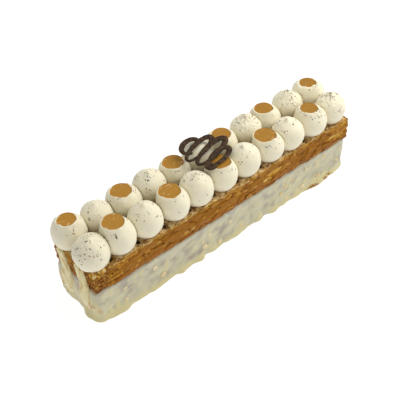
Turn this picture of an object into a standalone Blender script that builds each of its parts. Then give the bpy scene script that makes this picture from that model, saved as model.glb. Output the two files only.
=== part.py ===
"""A whole mille feuille bar: an ivory glazed block with chopped almonds in its coat, a slab of
caramelised puff pastry on it, two rows of piped cream domes, plain and caramel filled by turns, and a
chocolate scroll.

The bar lies along X with its front row of domes at -Y, and stands on Z = 0."""

import math
import random

import bmesh
import bpy
from mathutils import Matrix, Vector, noise

MM = 0.001
GAP = 0.3 * MM

# The block's two ends differ: glaze ran down the left one, whose back stands a little further out, and
# the right one leans in towards its foot
BLOCK_LEFT = -144.5 * MM
BLOCK_RIGHT = 146.8 * MM
BLOCK_WIDTH = 56.4 * MM
BLOCK_HEIGHT = 35.4 * MM
BLOCK_CORNER = 4.5 * MM
RIGHT_LEAN = 2.6 * MM
LEFT_SKEW = 1.8 * MM
SKEW_START = -118 * MM
SKEW_END = -142 * MM
OUTLINE_STEP = 5.4 * MM
WALL_HEIGHTS = (0, 1.6, 4.2, 8, 14, 23, 31, 34.4, 35.4)

# Glaze that slumped into a foot: how high it stands, how far it reaches past the wall, how much that
# reach waves, and how far its underside is drawn in
FOOT_HEIGHT = 13 * MM
FOOT_REACH = 3.9 * MM
FOOT_WAVE = 1.3 * MM
FOOT_WAVE_LENGTH = 17 * MM
FOOT_UNDERCUT = 1.1 * MM
FOOT_SPREAD = 2.2
FOOT_RUNS = (
    # where the foot of the ends and the back differs: x, y, how far round it acts, extra reach, in mm
    (-147, -16, 8, 3.0),
    (-146, -2, 6, -2.2),
    (-146, 5, 7, -1.2),
    (148, -26, 14, -3.4),
    (148, 8, 26, -2.4),
    (-146, 30, 11, -2.8),
    (-90, 28, 16, 1.2),
    (20, 28, 12, 1.6),
    (96, 28, 18, 1.0),
)
FRONT_FOOT = (
    # the lobes of the front foot: x and reach, in mm
    (-146, 2.6), (-139, 3.0), (-130, 5.0), (-121, 5.6), (-113, 3.5), (-97, 3.8), (-90, 4.3), (-68, 3.0),
    (-60, 5.0), (-49, 3.8), (-38, 5.2), (-32, 2.3), (-23, 3.4), (-12, 2.6), (5, 4.0), (22, 1.8), (31, 3.5),
    (39, 1.2), (49, 4.7), (63, 3.1), (86, 3.4), (109, 6.0), (119, 4.8), (134, 3.6), (146, 1.0),
)

# Waves of the coat on the walls, and the slack coat of the left end
COAT_WAVE = 0.5 * MM
COAT_WAVE_LENGTH = 11 * MM
SLUMP_DEPTH = 2.0 * MM
SLUMP_START = -138 * MM
SLUMP_END = -144 * MM
TOP_EDGE = 30 * MM
ROUNDED_OFF = (0.4 * MM, 1.3 * MM)

# Chopped almonds that stand out of the coat: places on the front wall (x, height) and on the left end
# (y, height) in mm, and a rule for the back and the right end
ALMOND_SIZE = 4.4 * MM
ALMOND_PROUD = 0.9 * MM
ALMOND_SIZES = (0.7, 1.05)
ALMOND_CHIPS = (0.85, 1.15)
ALMOND_FLATNESS = (0.9, 0.9, 0.7)
FRONT_ALMONDS = (
    (-118, 8), (-117, 22), (-86, 23), (-79, 10), (-34, 17), (-32, 10), (-26, 20), (-16, 6), (-2, 21), (10, 8),
    (61, 14), (66, 20), (68, 6), (75, 23), (88, 7), (93, 26), (108, 25), (109, 8), (117, 28), (136, 12),
)
LEFT_ALMONDS = ((-24, 18), (4, 27), (21, 10))
BACK_ALMONDS = 14

# Glaze that ran down the left end, over the pastry: thin and narrow where it starts, and wider as it goes
# down, with a sway to each side, in shares of its width and in mm
DRIP_THICKNESS = 1.9 * MM
DRIP_SUNK = 1.6 * MM
DRIP_START = (0.62, 0.55)
DRIP_WIDTHS = (0.9, 1.45)
DRIP_SWAY = 0.8
DRIP_SWAY_TURN = 5
DRIP_THINS = 26
DRIP_HEIGHTS = (56.2, 55.0, 51, 45, 40, 35.0, 32.6, 26, 19, 12)
DRIP_SECTION = ((-1, 0), (-0.9, 0.6), (-0.5, 0.95), (0.05, 1.05), (0.6, 0.9), (0.95, 0.5), (1, 0))
DRIPS = (
    # y at the top, y at the foot, width at the top, in mm
    (15.0, 12.0, 8.7),
    (-10.0, -13.5, 9.3),
)

PASTRY_BOTTOM = BLOCK_HEIGHT + GAP
DRIP_CLEAR = PASTRY_BOTTOM - 2 * MM
PASTRY_TOP = 56.8 * MM
PASTRY_LEFT = -144.3 * MM
PASTRY_RIGHT = 148.0 * MM
PASTRY_WIDTH = 57.4 * MM
PASTRY_CELLS = (46, 10, 5)
PASTRY_RELIEF = 1.5 * MM
LEAF_LENGTH = 16 * MM
LEAF_LAYERS = 9
FLAKE_LENGTH = 6 * MM
FLAKE_LAYERS = 14
RELIEF_SHARES = (0.45, 0.8, 0.35)
CRUMB_RELIEF = 1.3 * MM
CRUMB_LENGTH = 7 * MM
CRUMB_SHARES = (0.55, 0.9)
CRUMB_EDGE = 2 * MM
DOME_SEAT = 0.76
# The near left corner is broken off: how far round, and how much is missing along, across and down
BROKEN_SIDE = 13 * MM
BROKEN_TOP = 15 * MM
BROKEN_OFF = (3.5 * MM, 2.6 * MM, 6.5 * MM)

DOMES_A_ROW = 11
DOME_PITCH = 27 * MM
ROW_DISTANCE = 30.4 * MM
DOME_RADIUS = 14.9 * MM
DOME_SEGMENTS = 14
PLAIN_HEIGHT = 27.0 * MM
PEAK_HEIGHT = 1.1 * MM
FILLED_HEIGHT = 26.2 * MM
FULLNESS = 0.85
WIDEST_AT = 11.6 * MM
SEAT_ANGLE = math.radians(-44)
SHOULDERS_PLAIN = (24, 44, 63)
RIM_WIDTH = 1.6 * MM
TIP_LEAN = 0.7 * MM
PRESS_SOFT = 1.0 * MM
RIM_RISE = 0.9 * MM
RIM_LIP = ((0.7 * MM, 1.1 * MM), (0.2 * MM, 1.0 * MM))
TOP_SHARE = 0.2
TOP_SUNK = 0.3 * MM
POOL_RADIUS = 8.9 * MM
POOL_LEVEL = 22.9 * MM
POOL_LIFT = 1.2 * GAP
BOWL_DEPTH = 5.2 * MM
BOWL_SHAPE = ((0.78, 0.45), (0.40, 0.85), (0, 1))
# Domes differ: where one stands along the row, and how much its radius, its height and its hollow's
# radius differ, in mm
UNEVEN_DOMES = {
    "front_01": (1.0, 0.3, 0.7, 0.0),
    "front_02": (0.0, 0.0, 3.9, 0.3),
    "front_03": (0.0, 0.0, 0.9, 0.0),
    "front_04": (1.8, -0.4, 1.0, 0.6),
    "front_05": (0.0, 0.0, 0.6, 0.0),
    "front_06": (0.0, 0.0, 1.2, 0.3),
    "front_07": (0.0, 0.0, 0.1, 0.0),
    "front_08": (1.5, -0.2, -0.7, 1.1),
    "front_09": (-1.4, 0.1, 0.4, 0.0),
    "front_10": (0.5, 0.5, 1.2, -0.7),
    "front_11": (-0.4, -0.4, -0.1, 0.0),
    "back_01": (0.0, 0.0, 1.6, -0.9),
    "back_02": (0.0, -0.9, -2.6, 0.0),
    "back_03": (0.3, 0.8, -1.9, 0.3),
    "back_04": (0.0, 0.0, -1.0, 0.0),
    "back_05": (0.6, -0.7, -3.1, 0.6),
    "back_06": (0.0, 0.0, -1.3, 0.0),
    "back_07": (0.0, 0.0, -1.8, -0.2),
    "back_08": (2.7, 0.0, -2.3, 0.0),
    "back_09": (-1.0, -0.1, -1.3, -0.1),
    "back_10": (0.8, -0.4, -0.5, 0.0),
    "back_11": (1.6, 0.9, -0.6, -0.8),
}

# The chocolate scroll lies on the sixth back dome and the rim of the sixth front one, sloping a little,
# and is piped in strokes of an uneven width
SCROLL_HEIGHT = 84.2 * MM
SCROLL_SLOPE = math.radians(3.0)
SCROLL_STRETCH = 1.11
SCROLL_BACK = 2.8
SCROLL_THICKNESS = 1.9 * MM
SCROLL_SIDES = 6
SCROLL_CURL = 0.36
SCROLL_STACK = 0.12
WIDEST_SHARE = 0.55
SWELL_ROUNDNESS = 0.7
THIN_DEPTH = 0.75
CURL_PACE = 1.5
SCROLL_RUNS = (
    # middle, half length, half width, tilt, first and last angle, steps, thinnest and widest stroke, and
    # whether it is open and winds in; lengths in mm and angles in degrees
    ((-6.0, 11.5), 12.5, 7.4, 12, 235, -80, 15, 1.3, 4.6, True),
    ((-4.0, 4.6), 17.5, 5.2, 15, 0, 360, 16, 2.4, 4.6, False),
    ((2.0, -3.6), 19.5, 5.2, 14, 0, 360, 16, 2.8, 5.0, False),
    ((3.4, -11.6), 12.5, 4.6, 12, 0, 360, 14, 2.6, 4.6, False),
    ((-6.5, -15.6), 8.5, 5.2, 10, 80, 285, 10, 1.3, 4.0, True),
)

IVORY = (0.74, 0.71, 0.58)
PASTRY_GOLD = (0.52, 0.33, 0.13)
CREAM = (0.85, 0.82, 0.70)
CARAMEL = (0.69, 0.49, 0.20)
CHOCOLATE = (0.30, 0.21, 0.15)


def clear_scene():
    for obj in list(bpy.data.objects):
        bpy.data.objects.remove(obj, do_unlink=True)


def material(name, colour, roughness):
    """A Principled material. Colour is as seen on a screen, from 0 to 1, and is turned linear here."""
    made = bpy.data.materials.new(name)
    made.use_nodes = True
    shader = made.node_tree.nodes["Principled BSDF"]
    linear = [channel ** 2.2 for channel in colour]
    shader.inputs["Base Color"].default_value = (*linear, 1.0)
    shader.inputs["Roughness"].default_value = roughness
    shader.inputs["Metallic"].default_value = 0.0
    made.diffuse_color = (*linear, 1.0)
    return made


def object_of(name, mesh_builder, finish):
    """Turns a bmesh into an object of its own with its faces pointing out."""
    bmesh.ops.recalc_face_normals(mesh_builder, faces=mesh_builder.faces)
    mesh = bpy.data.meshes.new(name)
    mesh_builder.to_mesh(mesh)
    mesh_builder.free()
    mesh.materials.append(finish)
    obj = bpy.data.objects.new(name, mesh)
    bpy.context.scene.collection.objects.link(obj)
    return obj


def join_to(base, extras):
    """Fuses the extras to the base with one Boolean, and removes them."""
    group = bpy.data.collections.new("extras")
    bpy.context.scene.collection.children.link(group)
    for extra in extras:
        bpy.context.scene.collection.objects.unlink(extra)
        group.objects.link(extra)
    union = base.modifiers.new("union", "BOOLEAN")
    union.operation = "UNION"
    union.operand_type = "COLLECTION"
    union.collection = group
    bpy.context.view_layer.update()
    fused = bpy.data.meshes.new_from_object(base.evaluated_get(bpy.context.evaluated_depsgraph_get()))
    base.modifiers.clear()
    base.data = fused
    for extra in extras:
        bpy.data.objects.remove(extra, do_unlink=True)
    bpy.data.collections.remove(group)


def bridge(mesh_builder, lower, upper):
    """A band of faces between two rings with as many points."""
    for i in range(len(lower)):
        j = (i + 1) % len(lower)
        mesh_builder.faces.new((lower[i], lower[j], upper[j], upper[i]))


def loft(rings):
    """A closed solid through rings of points, with a flat face at each end."""
    made = bmesh.new()
    circles = [[made.verts.new(point) for point in ring] for ring in rings]
    for lower, upper in zip(circles, circles[1:]):
        bridge(made, lower, upper)
    made.faces.new(circles[0])
    made.faces.new(circles[-1])
    return made


def block_outline():
    """Points round the block's wall, anticlockwise from above, each with the way it faces."""
    half = Vector(((BLOCK_RIGHT - BLOCK_LEFT) / 2 - BLOCK_CORNER, BLOCK_WIDTH / 2 - BLOCK_CORNER, 0))
    middle = Vector(((BLOCK_LEFT + BLOCK_RIGHT) / 2, 0, 0))
    turns = ((1, -1), (1, 1), (-1, 1), (-1, -1))
    points = []
    for side, (sign_x, sign_y) in enumerate(turns):
        centre = middle + Vector((sign_x * half.x, sign_y * half.y, 0))
        for third in range(4):
            angle = math.radians(-90 + 90 * side + 30 * third)
            facing = Vector((math.cos(angle), math.sin(angle), 0))
            points.append((centre + facing * BLOCK_CORNER, facing))
        next_x, next_y = turns[(side + 1) % 4]
        end = middle + Vector((next_x * half.x, next_y * half.y, 0)) + facing * BLOCK_CORNER
        start = points[-1][0]
        steps = round((end - start).length / OUTLINE_STEP)
        for step in range(1, steps):
            points.append((start.lerp(end, step / steps), facing))
    return points


def between(stops, place):
    """The value at a place between (place, value) stops, smooth at each stop."""
    for (first, low), (last, high) in zip(stops, stops[1:]):
        if place <= last:
            share = max(0.0, (place - first) / (last - first))
            return low + (high - low) * (0.5 - 0.5 * math.cos(math.pi * share))
    return stops[-1][1]


def foot_reach(point, facing):
    """How far the foot runs out past the wall here."""
    reach = FOOT_REACH + FOOT_WAVE * noise.noise(point / FOOT_WAVE_LENGTH)
    for x, y, width, extra in FOOT_RUNS:
        distance = (point - Vector((x * MM, y * MM, 0))).length
        reach += extra * MM * math.exp(-((distance / (width * MM)) ** 2))
    to_front = max(0.0, -facing.y)
    return reach + (between(FRONT_FOOT, point.x / MM) * MM - reach) * to_front


def share_between(start, end, place):
    """0 up to the start and 1 from the end on."""
    return max(0.0, min(1.0, (place - start) / (end - start)))


def wall_offset(point, facing, height):
    """How far the coat stands out of the straight wall at this height."""
    low = max(0.0, 1 - height / FOOT_HEIGHT)
    foot = foot_reach(point, facing) * low ** FOOT_SPREAD
    if point.x > BLOCK_RIGHT - BLOCK_CORNER:
        foot -= RIGHT_LEAN * (1 - height / BLOCK_HEIGHT)
    slump = SLUMP_DEPTH * share_between(SLUMP_START, SLUMP_END, point.x)
    belly = slump * math.sin(math.pi * min(1.0, height / BLOCK_HEIGHT))
    ripple = COAT_WAVE * noise.noise(Vector((point.x, point.y, height)) / COAT_WAVE_LENGTH)
    return foot + belly + ripple


def glazed_block(finish):
    """The block in its coat: straight walls, a rounded upper edge, and a foot that thins to the ground."""
    rings = []
    for height in WALL_HEIGHTS:
        ring = []
        for point, facing in block_outline():
            out = wall_offset(point, facing, height * MM)
            if height == WALL_HEIGHTS[0]:
                out -= FOOT_UNDERCUT
            if height in WALL_HEIGHTS[-2:]:
                out -= ROUNDED_OFF[WALL_HEIGHTS[-2:].index(height)]
            if height * MM > TOP_EDGE:
                out = min(out, 0.0)
            spot = point + facing * out
            ring.append((spot.x, spot.y, height * MM))
        rings.append(ring)
    made = loft(rings)
    skew_end(made.verts)
    return object_of("glazed_block", made, finish)


def almond_places(rng):
    """Where the almonds sit: a point of the wall, the way it faces and a height, all four sides round."""
    front = Vector((0, -1, 0))
    left = Vector((-1, 0, 0))
    for x, height in FRONT_ALMONDS:
        yield Vector((x * MM, -BLOCK_WIDTH / 2, 0)), front, height * MM
    for y, height in LEFT_ALMONDS:
        yield Vector((BLOCK_LEFT, y * MM, 0)), left, height * MM
    unseen = [place for place in block_outline() if place[1].y > 0.5 or place[1].x > 0.5]
    for number in range(BACK_ALMONDS):
        point, facing = unseen[int((number + rng.random()) * len(unseen) / BACK_ALMONDS)]
        yield point, facing, rng.uniform(6, 27) * MM


def almonds(finish):
    """Chopped almonds: faceted bits, half sunk in the coat."""
    rng = random.Random(7)
    made = []
    for point, facing, height in almond_places(rng):
        size = ALMOND_SIZE * rng.uniform(*ALMOND_SIZES)
        bit = bmesh.new()
        bmesh.ops.create_icosphere(bit, subdivisions=1, radius=size / 2)
        for vertex in bit.verts:
            vertex.co *= rng.uniform(*ALMOND_CHIPS)
        turn = Matrix.Rotation(rng.uniform(0, math.pi), 4, facing)
        depth = size / 2 - ALMOND_PROUD * rng.uniform(0.7, 1.3)
        out = wall_offset(point, facing, height) - depth
        centre = point + facing * out + Vector((0, 0, height))
        bmesh.ops.scale(bit, verts=bit.verts, vec=ALMOND_FLATNESS)
        bmesh.ops.transform(bit, matrix=Matrix.Translation(centre) @ turn, verts=bit.verts)
        made.append(object_of(f"almond_{len(made)}", bit, finish))
    return made


def skew_end(vertices):
    """Stands the back of the bar's left end further out than its front."""
    for vertex in vertices:
        near_end = share_between(SKEW_START, SKEW_END, vertex.co.x)
        to_back = vertex.co.y / BLOCK_WIDTH + 0.5
        vertex.co.x -= LEFT_SKEW * near_end * to_back


def drip(number, top_y, foot_y, width, finish):
    """Glaze that ran over the pastry's left end. Its back is flat and clear of the pastry, and its foot is
    sunk in the coat."""
    top = DRIP_HEIGHTS[0]
    rings = []
    for height in DRIP_HEIGHTS:
        along = (top - height) / top
        sway = DRIP_SWAY * math.sin(DRIP_SWAY_TURN * along + top_y)
        middle = top_y + (foot_y - top_y) * along + sway
        spread = DRIP_WIDTHS[0] + (DRIP_WIDTHS[1] - DRIP_WIDTHS[0]) * along
        half = width / 2 * (DRIP_START[0] if height == top else spread)
        wall = Vector((BLOCK_LEFT, middle * MM, 0))
        if height * MM > DRIP_CLEAR:
            back = PASTRY_LEFT - GAP
            front = back - DRIP_THICKNESS * (DRIP_START[1] if height == top else 1.0)
        else:
            surface = wall.x - wall_offset(wall, Vector((-1, 0, 0)), height * MM)
            back = surface + DRIP_SUNK
            front = surface - DRIP_THICKNESS * min(1.0, height / DRIP_THINS)
        ring = []
        for side, depth in DRIP_SECTION:
            ring.append((back + (front - back) * depth, (middle + side * half) * MM, height * MM))
        rings.append(ring)
    made = loft(rings)
    skew_end(made.verts)
    return object_of(f"drip_{number}", made, finish)


def row_name(row, number):
    return f"{row}_{number:02d}"


def dome_size(row, number):
    """A dome's centre on the pastry and its widest radius."""
    shift, extra, _, _ = UNEVEN_DOMES[row_name(row, number)]
    middle = (DOMES_A_ROW + 1) / 2
    x = (number - middle) * DOME_PITCH + shift * MM
    y = (-1 if row == "front" else 1) * ROW_DISTANCE / 2
    return Vector((x, y, 0)), DOME_RADIUS + extra * MM


def dome_rise(row, number):
    """How much higher or lower than usual a dome is, and its hollow's radius."""
    _, _, higher, wider = UNEVEN_DOMES[row_name(row, number)]
    return higher * MM, POOL_RADIUS + wider * MM


def every_dome():
    return [(row, number) for row in ("front", "back") for number in range(1, DOMES_A_ROW + 1)]


def is_filled(row, number):
    """Caramel is in every second dome, in a checkerboard."""
    return (number % 2 == 0) == (row == "front")


def press_flat(vertices, centre, radius, neighbours):
    """Flattens a dome where it meets its neighbours, so that half a gap is left on each side."""
    for other, other_radius in neighbours:
        across = other - centre
        distance = across.length
        if distance > radius + other_radius:
            continue
        direction = across / distance
        limit = distance * radius / (radius + other_radius) - GAP / 2
        for vertex in vertices:
            reach = (vertex.co - centre).dot(direction)
            over = reach - limit + PRESS_SOFT
            if over > 0:
                pressed = limit - PRESS_SOFT * math.exp(-over / PRESS_SOFT)
                vertex.co += direction * (pressed - reach)


def dome_profile(radius, height, shoulders):
    """Radius and height of points from the middle of the base, up the outside, to the last shoulder."""
    points = [(0, 0), (math.cos(SEAT_ANGLE) * radius, 0)]
    half = SEAT_ANGLE / 2
    low = WIDEST_AT * (1 - math.sin(half) / math.sin(SEAT_ANGLE))
    points.append((math.cos(half) * radius, low))
    points.append((radius, WIDEST_AT))
    rise = height - WIDEST_AT
    for turn in shoulders:
        points.append((radius * math.cos(turn) ** FULLNESS, WIDEST_AT + rise * math.sin(turn)))
    return points


def plain_profile(radius, higher):
    """A plain dome's outline, with its soft peak."""
    height = PLAIN_HEIGHT + higher
    points = dome_profile(radius, height, [math.radians(angle) for angle in SHOULDERS_PLAIN])
    points.append((TOP_SHARE * radius, height - TOP_SUNK))
    points.append((0, height + PEAK_HEIGHT))
    return points


def filled_profile(radius, higher, pool_radius):
    """A filled dome's outline, with the lip of its hollow and the hollow itself."""
    edge = math.acos(((pool_radius + RIM_WIDTH) / radius) ** (1 / FULLNESS))
    points = dome_profile(radius, FILLED_HEIGHT + higher, (edge / 2, edge))
    points.extend((pool_radius + out, POOL_LEVEL + higher + up) for out, up in RIM_LIP)
    points.extend(bowl_profile(POOL_LEVEL + higher, pool_radius))
    return points


def bowl_profile(level, pool_radius):
    """The scooped hollow, from the caramel's level to its middle."""
    points = [(pool_radius, level)]
    points.extend((out * pool_radius, level - down * BOWL_DEPTH) for out, down in BOWL_SHAPE)
    return points


def spun(profile):
    """A closed solid turned from a profile that starts and ends on the axis."""
    made = bmesh.new()
    points = [made.verts.new((across, 0, up)) for across, up in profile]
    edges = [made.edges.new(pair) for pair in zip(points, points[1:])]
    bmesh.ops.spin(
        made,
        geom=points + edges,
        cent=(0, 0, 0),
        axis=(0, 0, 1),
        angle=2 * math.pi,
        steps=DOME_SEGMENTS,
        use_merge=True,
    )
    bmesh.ops.remove_doubles(made, verts=made.verts, dist=0.00001)
    return made


def tilt_rim(vertices, level, pool_radius):
    """Raises the front of the scooped rim and lowers its back."""
    for vertex in vertices:
        if vertex.co.z > level + GAP:
            vertex.co.z -= RIM_RISE * vertex.co.y / pool_radius


def piped_dome(row, number, finish):
    """A dome of piped cream. A filled one has a scooped hollow whose rim stands higher in front."""
    centre, radius = dome_size(row, number)
    higher, pool_radius = dome_rise(row, number)
    rng = random.Random(100 * number + (row == "back"))
    if is_filled(row, number):
        made = spun(filled_profile(radius, higher, pool_radius))
        tilt_rim(made.verts, POOL_LEVEL + higher, pool_radius)
    else:
        made = spun(plain_profile(radius, higher))
        lean = TIP_LEAN * Vector((rng.uniform(-1, 1), rng.uniform(-1, 1), 0))
        for vertex in made.verts:
            vertex.co += lean * (vertex.co.z / PLAIN_HEIGHT) ** 2
    bmesh.ops.translate(made, verts=made.verts, vec=centre)
    neighbours = [dome_size(*other) for other in every_dome() if other != (row, number)]
    press_flat(made.verts, centre, radius, neighbours)
    obj = object_of(f"dome_{row_name(row, number)}", made, finish)
    obj.location.z = PASTRY_TOP + GAP


def caramel_pool(row, number, finish):
    """Caramel poured level into a dome's hollow."""
    centre, _ = dome_size(row, number)
    higher, pool_radius = dome_rise(row, number)
    level = POOL_LEVEL + higher
    inset = GAP / math.cos(math.pi / DOME_SEGMENTS)
    profile = [(0, level), (pool_radius - inset, level)]
    for across, up in bowl_profile(level, pool_radius)[1:]:
        profile.append((max(0.0, across - inset), up + POOL_LIFT))
    made = spun(profile)
    bmesh.ops.translate(made, verts=made.verts, vec=centre)
    obj = object_of(f"caramel_{row_name(row, number)}", made, finish)
    obj.location.z = PASTRY_TOP + GAP


def pastry_slab(finish):
    """Caramelised puff pastry: a grid for the top, sides drawn down in layers, and a flat bottom."""
    columns, rows, layers = PASTRY_CELLS
    length = PASTRY_RIGHT - PASTRY_LEFT
    made = bmesh.new()
    bmesh.ops.create_grid(made, x_segments=columns, y_segments=rows, size=0.5)
    bmesh.ops.scale(made, verts=made.verts, vec=(length, PASTRY_WIDTH, 1))
    middle = (PASTRY_LEFT + PASTRY_RIGHT) / 2
    bmesh.ops.translate(made, verts=made.verts, vec=(middle, 0, PASTRY_TOP))
    top = list(made.verts)
    layer_height = (PASTRY_TOP - PASTRY_BOTTOM) / layers
    rim = [edge for edge in made.edges if edge.is_boundary]
    for _ in range(layers):
        drawn = bmesh.ops.extrude_edge_only(made, edges=rim)["geom"]
        lowered = [item for item in drawn if isinstance(item, bmesh.types.BMVert)]
        bmesh.ops.translate(made, verts=lowered, vec=(0, 0, -layer_height))
        rim = [item for item in drawn if isinstance(item, bmesh.types.BMEdge) and item.is_boundary]
    bmesh.ops.contextual_create(made, geom=rim)
    for vertex in made.verts:
        sink_layer(vertex)
    for vertex in top:
        vertex.co.z -= crumb_depth(vertex.co)
    skew_end(made.verts)
    return object_of("pastry_slab", made, finish)


def sink_layer(vertex):
    """Draws the pastry's sides in, layer by layer, so that the leaves show as ridges, and breaks its left
    front corner off."""
    centre_x = (PASTRY_LEFT + PASTRY_RIGHT) / 2
    reach_x = (PASTRY_RIGHT - PASTRY_LEFT) / 2 - abs(vertex.co.x - centre_x)
    reach_y = PASTRY_WIDTH / 2 - abs(vertex.co.y)
    edge = GAP / 3
    if min(reach_x, reach_y) > edge:
        return
    up = (vertex.co.z - PASTRY_BOTTOM) / (PASTRY_TOP - PASTRY_BOTTOM)
    along = vertex.co.x if reach_y < reach_x else vertex.co.y
    leaf = noise.noise(Vector((along / LEAF_LENGTH, up * LEAF_LAYERS, reach_y * 100)))
    flake = noise.noise(Vector((along / FLAKE_LENGTH, up * FLAKE_LAYERS, 5)))
    even, leaves, flakes = RELIEF_SHARES
    depth = PASTRY_RELIEF * max(0.0, even + leaves * leaf + flakes * flake)
    if vertex.co.z < PASTRY_BOTTOM + edge:
        depth = 2 * edge
    if reach_y < edge:
        vertex.co.y -= math.copysign(depth, vertex.co.y)
    if reach_x < edge:
        vertex.co.x -= math.copysign(depth, vertex.co.x - centre_x)
    broken = broken_corner(vertex.co, BROKEN_SIDE) * (0.3 + up)
    vertex.co.x += BROKEN_OFF[0] * broken
    vertex.co.y += BROKEN_OFF[1] * broken


def broken_corner(point, reach):
    """1 at the pastry's near left corner, fading to 0 round it."""
    corner = Vector((PASTRY_LEFT, -PASTRY_WIDTH / 2))
    return math.exp(-(((point.xy - corner).length / reach) ** 2))


def crumb_depth(point):
    """How far the crumbly top lies below the domes' seat: nothing under a dome."""
    clear = BLOCK_WIDTH
    for dome in every_dome():
        centre, radius = dome_size(*dome)
        clear = min(clear, (point.xy - centre.xy).length - DOME_SEAT * radius)
    if clear < 0:
        return 0.0
    crumbs = CRUMB_SHARES[0] + CRUMB_SHARES[1] * noise.noise(point / CRUMB_LENGTH)
    edge = min(1.0, clear / CRUMB_EDGE)
    return edge * (CRUMB_RELIEF * max(0.0, crumbs) + BROKEN_OFF[2] * broken_corner(point, BROKEN_TOP))


def scroll_run(middle, half_length, half_width, tilt, first, last, steps, curls):
    """Points of a run on the flat, in mm: an oval, or a curl that winds in."""
    points = []
    for step in range(steps + 1):
        share = step / steps
        angle = math.radians(first + (last - first) * share)
        wound = 1 - (1 - SCROLL_CURL) * share ** CURL_PACE if curls else 1
        flat = Vector((half_length * math.cos(angle), half_width * math.sin(angle))) * wound
        flat.rotate(Matrix.Rotation(math.radians(tilt), 2))
        flat += Vector(middle)
        points.append(Vector((flat.x, flat.y * SCROLL_STRETCH + SCROLL_BACK)))
    return points


def stroke_swell(share, thin_ends):
    """How wide a stroke is on its way, from 0 to 1: an open one thins to both ends, a ring on one side."""
    if thin_ends:
        return math.sin(math.pi * share) ** SWELL_ROUNDNESS
    return 0.5 - 0.5 * math.cos(2 * math.pi * (share - WIDEST_SHARE))


def scroll_stroke(number, finish):
    """One piped run of the scroll: an oval ring of chocolate, or an open curl with thin ends."""
    *route, thin, wide, thin_ends = SCROLL_RUNS[number]
    points = scroll_run(*route, thin_ends)
    made = bmesh.new()
    circles = []
    last = len(points) - 1
    for index, point in enumerate(points[: last + 1 if thin_ends else last]):
        swell = stroke_swell(index / last, thin_ends)
        width = thin + (wide - thin) * swell
        if thin_ends:
            ahead = points[min(index + 1, last)] - points[max(index - 1, 0)]
        else:
            ahead = points[(index + 1) % last] - points[(index - 1) % last]
        across = Vector((ahead.y, -ahead.x)).normalized()
        depth = SCROLL_THICKNESS / 2 / MM * (THIN_DEPTH + (1 - THIN_DEPTH) * swell)
        circle = []
        for side in range(SCROLL_SIDES):
            turn = 2 * math.pi * (side + 0.5) / SCROLL_SIDES + math.pi / 6
            spot = point + across * width / 2 * math.sin(turn)
            height = depth * math.cos(turn) + SCROLL_STACK * number
            circle.append(made.verts.new((spot.x * MM, spot.y * MM, height * MM)))
        circles.append(circle)
    for lower, upper in zip(circles, circles[1:]):
        bridge(made, lower, upper)
    if thin_ends:
        made.faces.new(circles[0])
        made.faces.new(circles[-1])
    else:
        bridge(made, circles[-1], circles[0])
    place = Matrix.Translation((0, 0, SCROLL_HEIGHT)) @ Matrix.Rotation(SCROLL_SLOPE, 4, "X")
    bmesh.ops.transform(made, matrix=place, verts=made.verts)
    return object_of("chocolate_scroll" if number == 0 else f"stroke_{number}", made, finish)


def chocolate_scroll(finish):
    """A piped scroll of dark chocolate: a curl, three long loops and a hook, fused where they cross."""
    strokes = [scroll_stroke(number, finish) for number in range(len(SCROLL_RUNS))]
    join_to(strokes[0], strokes[1:])


def centre_bar():
    """Carries every piece on one empty, and moves it so that the bar's middle is over the origin."""
    bpy.context.view_layer.update()
    pieces = [obj for obj in bpy.data.objects if obj.type == "MESH"]
    corners = [obj.matrix_world @ Vector(corner) for obj in pieces for corner in obj.bound_box]
    bar = bpy.data.objects.new("bar", None)
    bpy.context.scene.collection.objects.link(bar)
    for piece in pieces:
        piece.parent = bar
    for axis in (0, 1):
        bar.location[axis] = -(min(c[axis] for c in corners) + max(c[axis] for c in corners)) / 2


def build():
    clear_scene()
    ivory = material("ivory glaze", IVORY, 0.45)
    gold = material("caramelised puff pastry", PASTRY_GOLD, 0.6)
    cream = material("piped cream", CREAM, 0.55)
    caramel = material("caramel", CARAMEL, 0.25)
    chocolate = material("dark chocolate", CHOCOLATE, 0.5)
    block = glazed_block(ivory)
    toppings = almonds(ivory)
    for number, (top_y, foot_y, width) in enumerate(DRIPS):
        toppings.append(drip(number, top_y, foot_y, width, ivory))
    join_to(block, toppings)
    pastry_slab(gold)
    for row, number in every_dome():
        piped_dome(row, number, cream)
        if is_filled(row, number):
            caramel_pool(row, number, caramel)
    chocolate_scroll(chocolate)
    centre_bar()


build()
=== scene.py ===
"""The looks of a whole mille feuille bar: a glazed block with chopped almonds, a slab of caramelised
puff pastry, two rows of piped cream domes with caramel in every second one, and a scroll of dark
chocolate."""

import math
import random

import bmesh
import bpy
import numpy as np
from mathutils import Matrix, Vector, noise


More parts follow.
